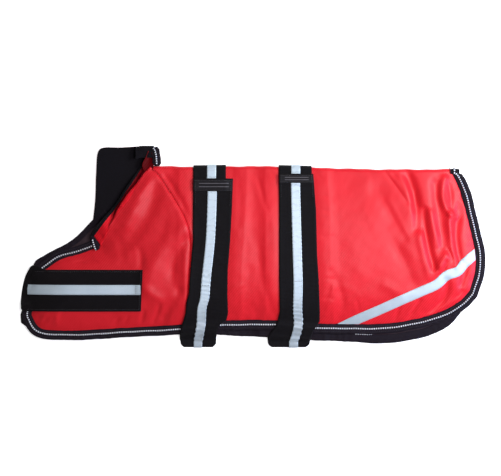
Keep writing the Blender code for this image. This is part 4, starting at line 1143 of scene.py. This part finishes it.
def far_collar():
    """The far half of the collar, open and flat: its red outer layer with the black inner layer on it."""
    dense = through(COLLAR_FAR, 300)
    corner = np.argmin(abs(dense[:, 1] - 143 * MM))
    top = np.argmin(np.linalg.norm(dense - np.array([-151, 149.6]) * MM, axis=1))
    foot = outward(even(through(FAR_NECKLINE, 60), 70), -2.5 * MM)
    left, right = even(dense[:corner + 1][::-1], 60), even(dense[top:], 60)
    upper_line = even(dense[corner:top + 1], 70)
    foot[0], foot[-1] = left[-1], right[-1]
    plan = patch(left, right, upper_line, foot)
    low = 2.0 * MM
    shell = wall("collar_far_shell", at_z(plan, CLOTH), at_z(plan, 0), RED, "red_shell", ["collar_far"])
    inner = wall("collar_far_inner", at_z(plan, low + LINING), at_z(plan, low), COLLAR_CLOTH, "black_lining",
                 ["collar_far_lining"])
    stamp(at_z(plan, 3 * MM))
    return [shell, inner]


def near_collar():
    """The near half of the collar: a red strip from its seam over a crest to its rim, and a black edge.

    The strip blends from its foot to the crest and from there to the rim. Above its lowest part it bulges by
    a cubic rise and then falls by a larger one.
    """
    foot = even(outward(through(CREASE, 90), -1.6 * MM)[:-2], 90)
    crest, rim = through(COLLAR_CREST, 90), through(COLLAR_RIM, 90)
    base = shell_height(foot[:, 0], foot[:, 1]) - 0.5 * MM
    share = np.linspace(0, 1, 90)
    steep = smooth((share - 0.14) / 0.2)
    u = np.linspace(0, 1, 22)[:, None]
    first, second = smooth(u / 0.4)[..., None], smooth((u - 0.4) / 0.6)[..., None]
    plan = foot + (crest - foot) * first + (rim - crest) * second
    bulge = (2.4 - 1.6 * steep) * MM * smooth(u / 0.35) - 9.5 * MM * steep * smooth((u - 0.12) / 0.7)
    gather = 0.4 * MM * np.sin(share * 41 + 3 * np.sin(share * 13)) * np.sin(np.pi * u)
    upper = at_z(plan, np.maximum(base + bulge + gather, 5.2 * MM))
    # The strip's red carries painted shade past its crest.
    shell = wall("collar_near_shell", upper, upper - [0, 0, CLOTH], COLLAR_RED_PAINTED_SHADE, "red_shell", ["collar_near"])
    away = (rim - foot) / np.linalg.norm(rim - foot, axis=1, keepdims=True)
    top = upper[-1, :, 2]
    rows = []
    for out, rise in ((-1.0, -0.6), (-0.6, 0.9), (0.8, 1.5), (2.6, 1.2), (4.2, 0.2), (5.2, -1.2), (5.4, -2.8),
                      (4.6, -4)):
        low = (4.5 + 0.1 * rise) * MM
        rows.append(np.column_stack([rim + away * out * MM, np.maximum(top + rise * MM, low)]))
    rows.append(np.column_stack([rim + away * 1 * MM, np.full(len(rim), 4.0 * MM)]))
    outer = np.array(rows)
    normal = normals(outer)
    normal *= np.sign(normal[3, 45, 2])
    inner = wall("collar_near_inner", outer, outer - normal * 0.6 * MM, COLLAR_CLOTH, "black_lining",
                 ["collar_near_lining"])
    return [shell, inner]


def ending(name, line, z, width, thick, piping_line, replaced=(), piping_replaced=()):
    """A short binding over a cut end of the collar, with its own piping."""
    line = through(line, 40)
    across, up = frame_along(line)
    taper = 0.6 + 0.4 * smooth(np.minimum(np.arange(40), np.arange(40)[::-1])[:, None] / 6)
    sweep(name, np.column_stack([line, z]), across * taper, up, rounded(width, thick), BINDING_CLOTH,
          replaced)
    cord = through(piping_line, 60)
    z = np.interp(np.linspace(0, 1, 60), np.linspace(0, 1, 40), z) + thick - 0.5 * MM
    beaded(name + "_piping", np.column_stack([cord, z]), straight_up(60), piping_replaced)


def turned_back():
    """The stretch at the spine that is turned back over the far collar, its red fold, and both bound ends."""
    profile = even(through(TURN_BACK, 60), 40)
    x = np.linspace(-173, -146, 30) * MM
    plan_y, plan_z = (np.broadcast_to(column[:, None], (40, 30)) for column in profile.T)
    plan_z = plan_z + 0.5 * MM * np.sin(x / (3.1 * MM)) * np.sin(plan_y / (5 * MM))
    plan_y = plan_y - 2 * MM * smooth((-165 * MM - x) / (8 * MM))
    rows = np.stack([np.broadcast_to(x, (40, 30)), plan_y, plan_z], axis=2)
    normal = normals(rows)
    normal *= np.sign(-normal[-1, 10, 2])
    inner = wall("collar_back_inner", rows, rows + normal * LINING, COLLAR_CLOTH, "black_lining",
                 ["collar_back"])
    u, v = np.linspace(0, 1, 20)[None, :], np.linspace(0, 1, 24)[:, None]
    left = through([(-154, 144), (-158, 134), (-163, 123), (-161, 114)], 24)[:, None]
    right = through([(-148.5, 141), (-147, 134), (-146, 124), (-147, 114)], 24)[:, None]
    plan = left * (1 - u[..., None]) + right * u[..., None]
    hollow = 2.4 * MM * np.sin(np.pi * u) * np.sin(np.pi * (v * 0.8 + 0.2))
    fold = at_z(plan, 12.7 * MM - hollow - 1.5 * MM * smooth((v - 0.7) / 0.3))
    # The fold is coloured a very dark red as painted shade.
    fold = wall("collar_back_fold", fold, fold - [0, 0, CLOTH], FOLD_RED_PAINTED_SHADE, "red_shell")
    line = [(-144, 150), (-143, 141), (-141.5, 132), (-141, 121)]
    z = np.interp(np.linspace(0, 1, 40), [0, 0.3, 1], [7 * MM, 10 * MM, 10.2 * MM])
    ending("collar_back_end_binding", line, z, 13 * MM, BINDING_THICK,
           [(-146.5, 148.5), (-144, 144), (-142.2, 136), (-141.3, 124)], ["collar_back_binding"],
           ["collar_back_piping"])
    line = [(-238.5, 19), (-235, 8), (-229.5, -4)]
    z = np.maximum(blurred_line(sampled(highest(tops, 3), *through(line, 40).T), 9) - 1 * MM, 5 * MM)
    ending("collar_near_end_binding", line, z, 9 * MM, 2.8 * MM, [(-238, 11), (-235.5, 2), (-232.5, -5)])
    return inner, fold


collar_far = far_collar()
collar_near = near_collar()
back_inner, back_fold = turned_back()


def stitches(name, line, up, look, slot, pitch=3 * MM, long=2.1 * MM, thick=0.42 * MM):
    """A row of sewn stitches along a line: each a rounded bar, thickest at its middle and sunk at its ends.

    Every stitch is the same six-sided profile of five rings, put at its place along the line by whole arrays.
    """
    length = np.linalg.norm(np.diff(line, axis=0), axis=1).sum()
    count = max(2, int(length / pitch))
    fine = even(np.hstack([line, up * MM]), 2 * count + 1)
    centre, normal = fine[1::2, :3], fine[1::2, 3:]
    along = fine[2::2, :3] - fine[:-2:2, :3]
    along /= np.linalg.norm(along, axis=1, keepdims=True)
    side = np.cross(normal, along)
    side /= np.linalg.norm(side, axis=1, keepdims=True)
    normal = np.cross(along, side)
    places = np.array([-0.5, -0.36, 0, 0.36, 0.5]) * long
    girth = np.array([0.35, 0.85, 1, 0.85, 0.35]) * thick / 2
    sink = np.array([-0.9, -0.1, 0.25, -0.1, -0.9]) * thick / 2
    a = np.arange(6) / 6 * 2 * np.pi
    points = centre[:, None, None] + along[:, None, None] * places[None, :, None, None]
    points = points + side[:, None, None] * (girth[:, None] * np.cos(a))[None, ..., None]
    points = points + normal[:, None, None] * (girth[:, None] * np.sin(a) + sink[:, None])[None, ..., None]
    index = np.arange(30).reshape(5, 6)
    after = np.roll(index, -1, axis=1)
    body = np.stack([index[:-1], after[:-1], after[1:], index[1:]], axis=-1).reshape(-1, 4)
    caps = np.array([[3, 2, 1, 0], [5, 4, 3, 0], [24, 25, 26, 27], [24, 27, 28, 29]])
    one = np.vstack([body[:, ::-1], caps[:, ::-1]])
    faces = (one[None] + 30 * np.arange(count)[:, None, None]).reshape(-1, 4)
    around, lengthways = a[None, None] * thick / 2, np.tile(places[None, :, None], (count, 1, 1))
    uv = np.stack(np.broadcast_arrays(around, lengthways), axis=-1)
    return cloth_piece(name, points.reshape(-1, 3), faces, uv.reshape(-1, 2), look)


def on_top(name, plan_line, look, slot, **sizes):
    """A row of stitches along a line in plan, on whatever lies uppermost there."""
    z = sampled(highest(tops, 1), plan_line[:, 0], plan_line[:, 1]) + 0.05 * MM
    line = np.column_stack([plan_line, blurred_line(z, 2)])
    return stitches(name, line, straight_up(len(line)), look, slot, **sizes)


def between(start, end, count):
    """A straight row of points in plan."""
    return np.linspace(np.array(start), np.array(end), count)


CROSS_STITCH = {"pitch": 2.2 * MM, "long": 1.7 * MM, "thick": 0.6 * MM}


def sew_binding(part, run, away):
    """Two rows of stitches along a binding, away from its middle on either side."""
    line, across, up = run
    for side, word in ((-1, "inner"), (1, "outer")):
        row = line + across * side * away + up * (BINDING_THICK - 0.2 * MM)
        stitches(part + "_stitches_" + word, row[4:-2], up[4:-2], BLACK_THREAD, "black_binding", 2.8 * MM)


def sew_strap(name, strap):
    """A strap's rows of stitches: along its tape, over and under its label, across it, and at its edges."""
    line = strap_tape_line(strap, 1 * MM, 1 * MM, 240)
    for away, word in ((1.2 * MM - STRAP_TAPE_WIDTH / 2, "r"), (STRAP_TAPE_WIDTH / 2 - 1.2 * MM, "l")):
        on_top(name + "_tape_stitches_" + word, outward(line, away), SILVER_THREAD, "reflective_tape")
    for y, word in ((strap["label"][0] - 1.2, "top"), (strap["label"][1] + 1.2, "bottom")):
        left, right = strap_edges(strap, y * MM)
        row = between((left + 1.5 * MM, y * MM), (right - 1.5 * MM, y * MM), 60)
        on_top(name + "_label_stitches_" + word, row, BLACK_THREAD, "woven_label", pitch=2.4 * MM,
               long=1.7 * MM)
    y = CROSS_STITCH_Y[name]
    x = at_y(even(line, 80), y)
    row = between((x - 5.8 * MM, y), (x + 5.8 * MM, y), 20)
    on_top(name + "_cross_stitches", row, BLACK_THREAD, "webbing", **CROSS_STITCH)
    ys = np.linspace((strap["end"] - 1) * MM, (strap["label"][1] - 22) * MM, 40)
    left, right = strap_edges(strap, ys)
    for x, word in ((left + 2.6 * MM, "left"), (right - 2.6 * MM, "right")):
        on_top(name + "_edge_" + word, np.column_stack([x, ys]), BLACK_THREAD, "webbing")


def sew_seam():
    """Two rows of red stitches on the back panel, beside its seam with the front."""
    for away, word in ((2.4 * MM, "first"), (5.6 * MM, "second")):
        row = seam_near[5:-3] + [away, 0]
        line = np.column_stack([row, shell_height(row[:, 0], row[:, 1])])
        stitches("seam_stitches_" + word, line, straight_up(len(row)), RED_THREAD, "red_shell",
                 thick=0.36 * MM)


def sew_flap():
    """The flap's rows of stitches: along its top, its bottom and its end."""
    top, bottom = FLAP_TOP - 2.5 * MM, FLAP_BOTTOM + 2.5 * MM
    for y, word in ((top, "top"), (bottom, "bottom")):
        fold = at_y(through(FLAP_FOLD, 30), y) + STRAP_TURN
        row = between((fold + 1 * MM, y), (FLAP_END - 1.5 * MM, y), 160)
        on_top("flap_stitches_" + word, row, BLACK_THREAD, "hook_and_loop")
    row = between((FLAP_END + 0.8 * MM, top), (FLAP_END - 2.4 * MM, bottom), 60)
    on_top("flap_stitches_end", row, BLACK_THREAD, "hook_and_loop")


def sew_tapes():
    """The stitches along both edges of the chest's and the flank's tape, and across the chest's."""
    middle = tail_plan[2:-2, 4]
    for away, column, word in ((-5.9 * MM, 0, "r"), (5.9 * MM, 8, "l")):
        row = between((-334 * MM, CHEST_TAPE_Y + away), (-168 * MM, CHEST_TAPE_Y + away), 160)
        on_top("chest_tape_stitches_" + word, row, SILVER_THREAD, "reflective_tape")
        row = middle + (tail_plan[2:-2, column] - middle) * 0.82
        on_top("tail_tape_stitches_" + word, row, SILVER_THREAD, "reflective_tape")
    row = between((-171.5 * MM, CHEST_TAPE_Y + 6.3 * MM), (-171.5 * MM, CHEST_TAPE_Y - 6.3 * MM), 20)
    on_top("chest_cross_stitches", row, BLACK_THREAD, "hook_and_loop", **CROSS_STITCH)


sew_binding("hem", hem_run, 4.3 * MM)
sew_binding("neck", neck_run, 3.9 * MM)
for name, strap in STRAPS.items():
    sew_strap(name, strap)
sew_seam()
sew_flap()
sew_tapes()


def lamp(name, at, size, power, tint=(1, 1, 1)):
    """A square soft light that looks at the coat's middle."""
    made = bpy.data.objects.new(name, bpy.data.lights.new(name, "AREA"))
    made.data.shape, made.data.size, made.data.energy, made.data.color = "SQUARE", size, power, tint
    made.location = at
    made.rotation_euler = (-Vector(at)).to_track_quat("-Z", "Y").to_euler()
    bpy.context.scene.collection.objects.link(made)


# Straight above, and as high as the photo's 1.5 mm to a pixel asks of a 100 mm lens
CAMERA_AT = (-2.75 * MM, 12.8 * MM, 2097.5 * MM)


def studio():
    """A plain pale floor, a soft key from the tail's side, three more lamps, and a camera straight above."""
    floor_points = np.array([(-3, -3, 0), (3, -3, 0), (3, 3, 0), (-3, 3, 0)], float)
    mesh = bpy.data.meshes.new("floor")
    mesh.from_pydata(floor_points.tolist(), [], [(0, 1, 2, 3)])
    pale = bpy.data.materials.new("pale floor")
    pale.use_nodes = True
    shader = pale.node_tree.nodes["Principled BSDF"]
    shader.inputs["Base Color"].default_value = (0.92, 0.92, 0.92, 1)
    shader.inputs["Roughness"].default_value = 0.9
    shader.inputs["Emission Color"].default_value = (1, 1, 1, 1)
    shader.inputs["Emission Strength"].default_value = 0.6
    mesh.materials.append(pale)
    ground = bpy.data.objects.new("floor", mesh)
    bpy.context.scene.collection.objects.link(ground)
    world = bpy.data.worlds.new("studio")
    world.use_nodes = True
    world.node_tree.nodes["Background"].inputs["Color"].default_value = (1, 1, 1, 1)
    world.node_tree.nodes["Background"].inputs["Strength"].default_value = 0.16
    bpy.context.scene.world = world
    bpy.context.scene.view_settings.view_transform = "Standard"
    lamp("key", (1.0, 0.3, 0.95), 0.45, 15.5, (0.96, 0.99, 1))
    lamp("fill", (0.15, 0.5, 1.3), 0.9, 1.8)
    lamp("overhead", (0.48, -0.02, 1.5), 0.4, 10, (0.97, 0.9, 1))
    lamp("tail glow", (0.95, -0.05, 0.3), 0.35, 4.6, (0.3, 0.5, 1))
    data = bpy.data.cameras.new("camera")
    data.lens, data.sensor_width = 100, 36
    camera = bpy.data.objects.new("camera", data)
    camera.location = CAMERA_AT
    bpy.context.scene.collection.objects.link(camera)
    bpy.context.scene.camera = camera


studio()
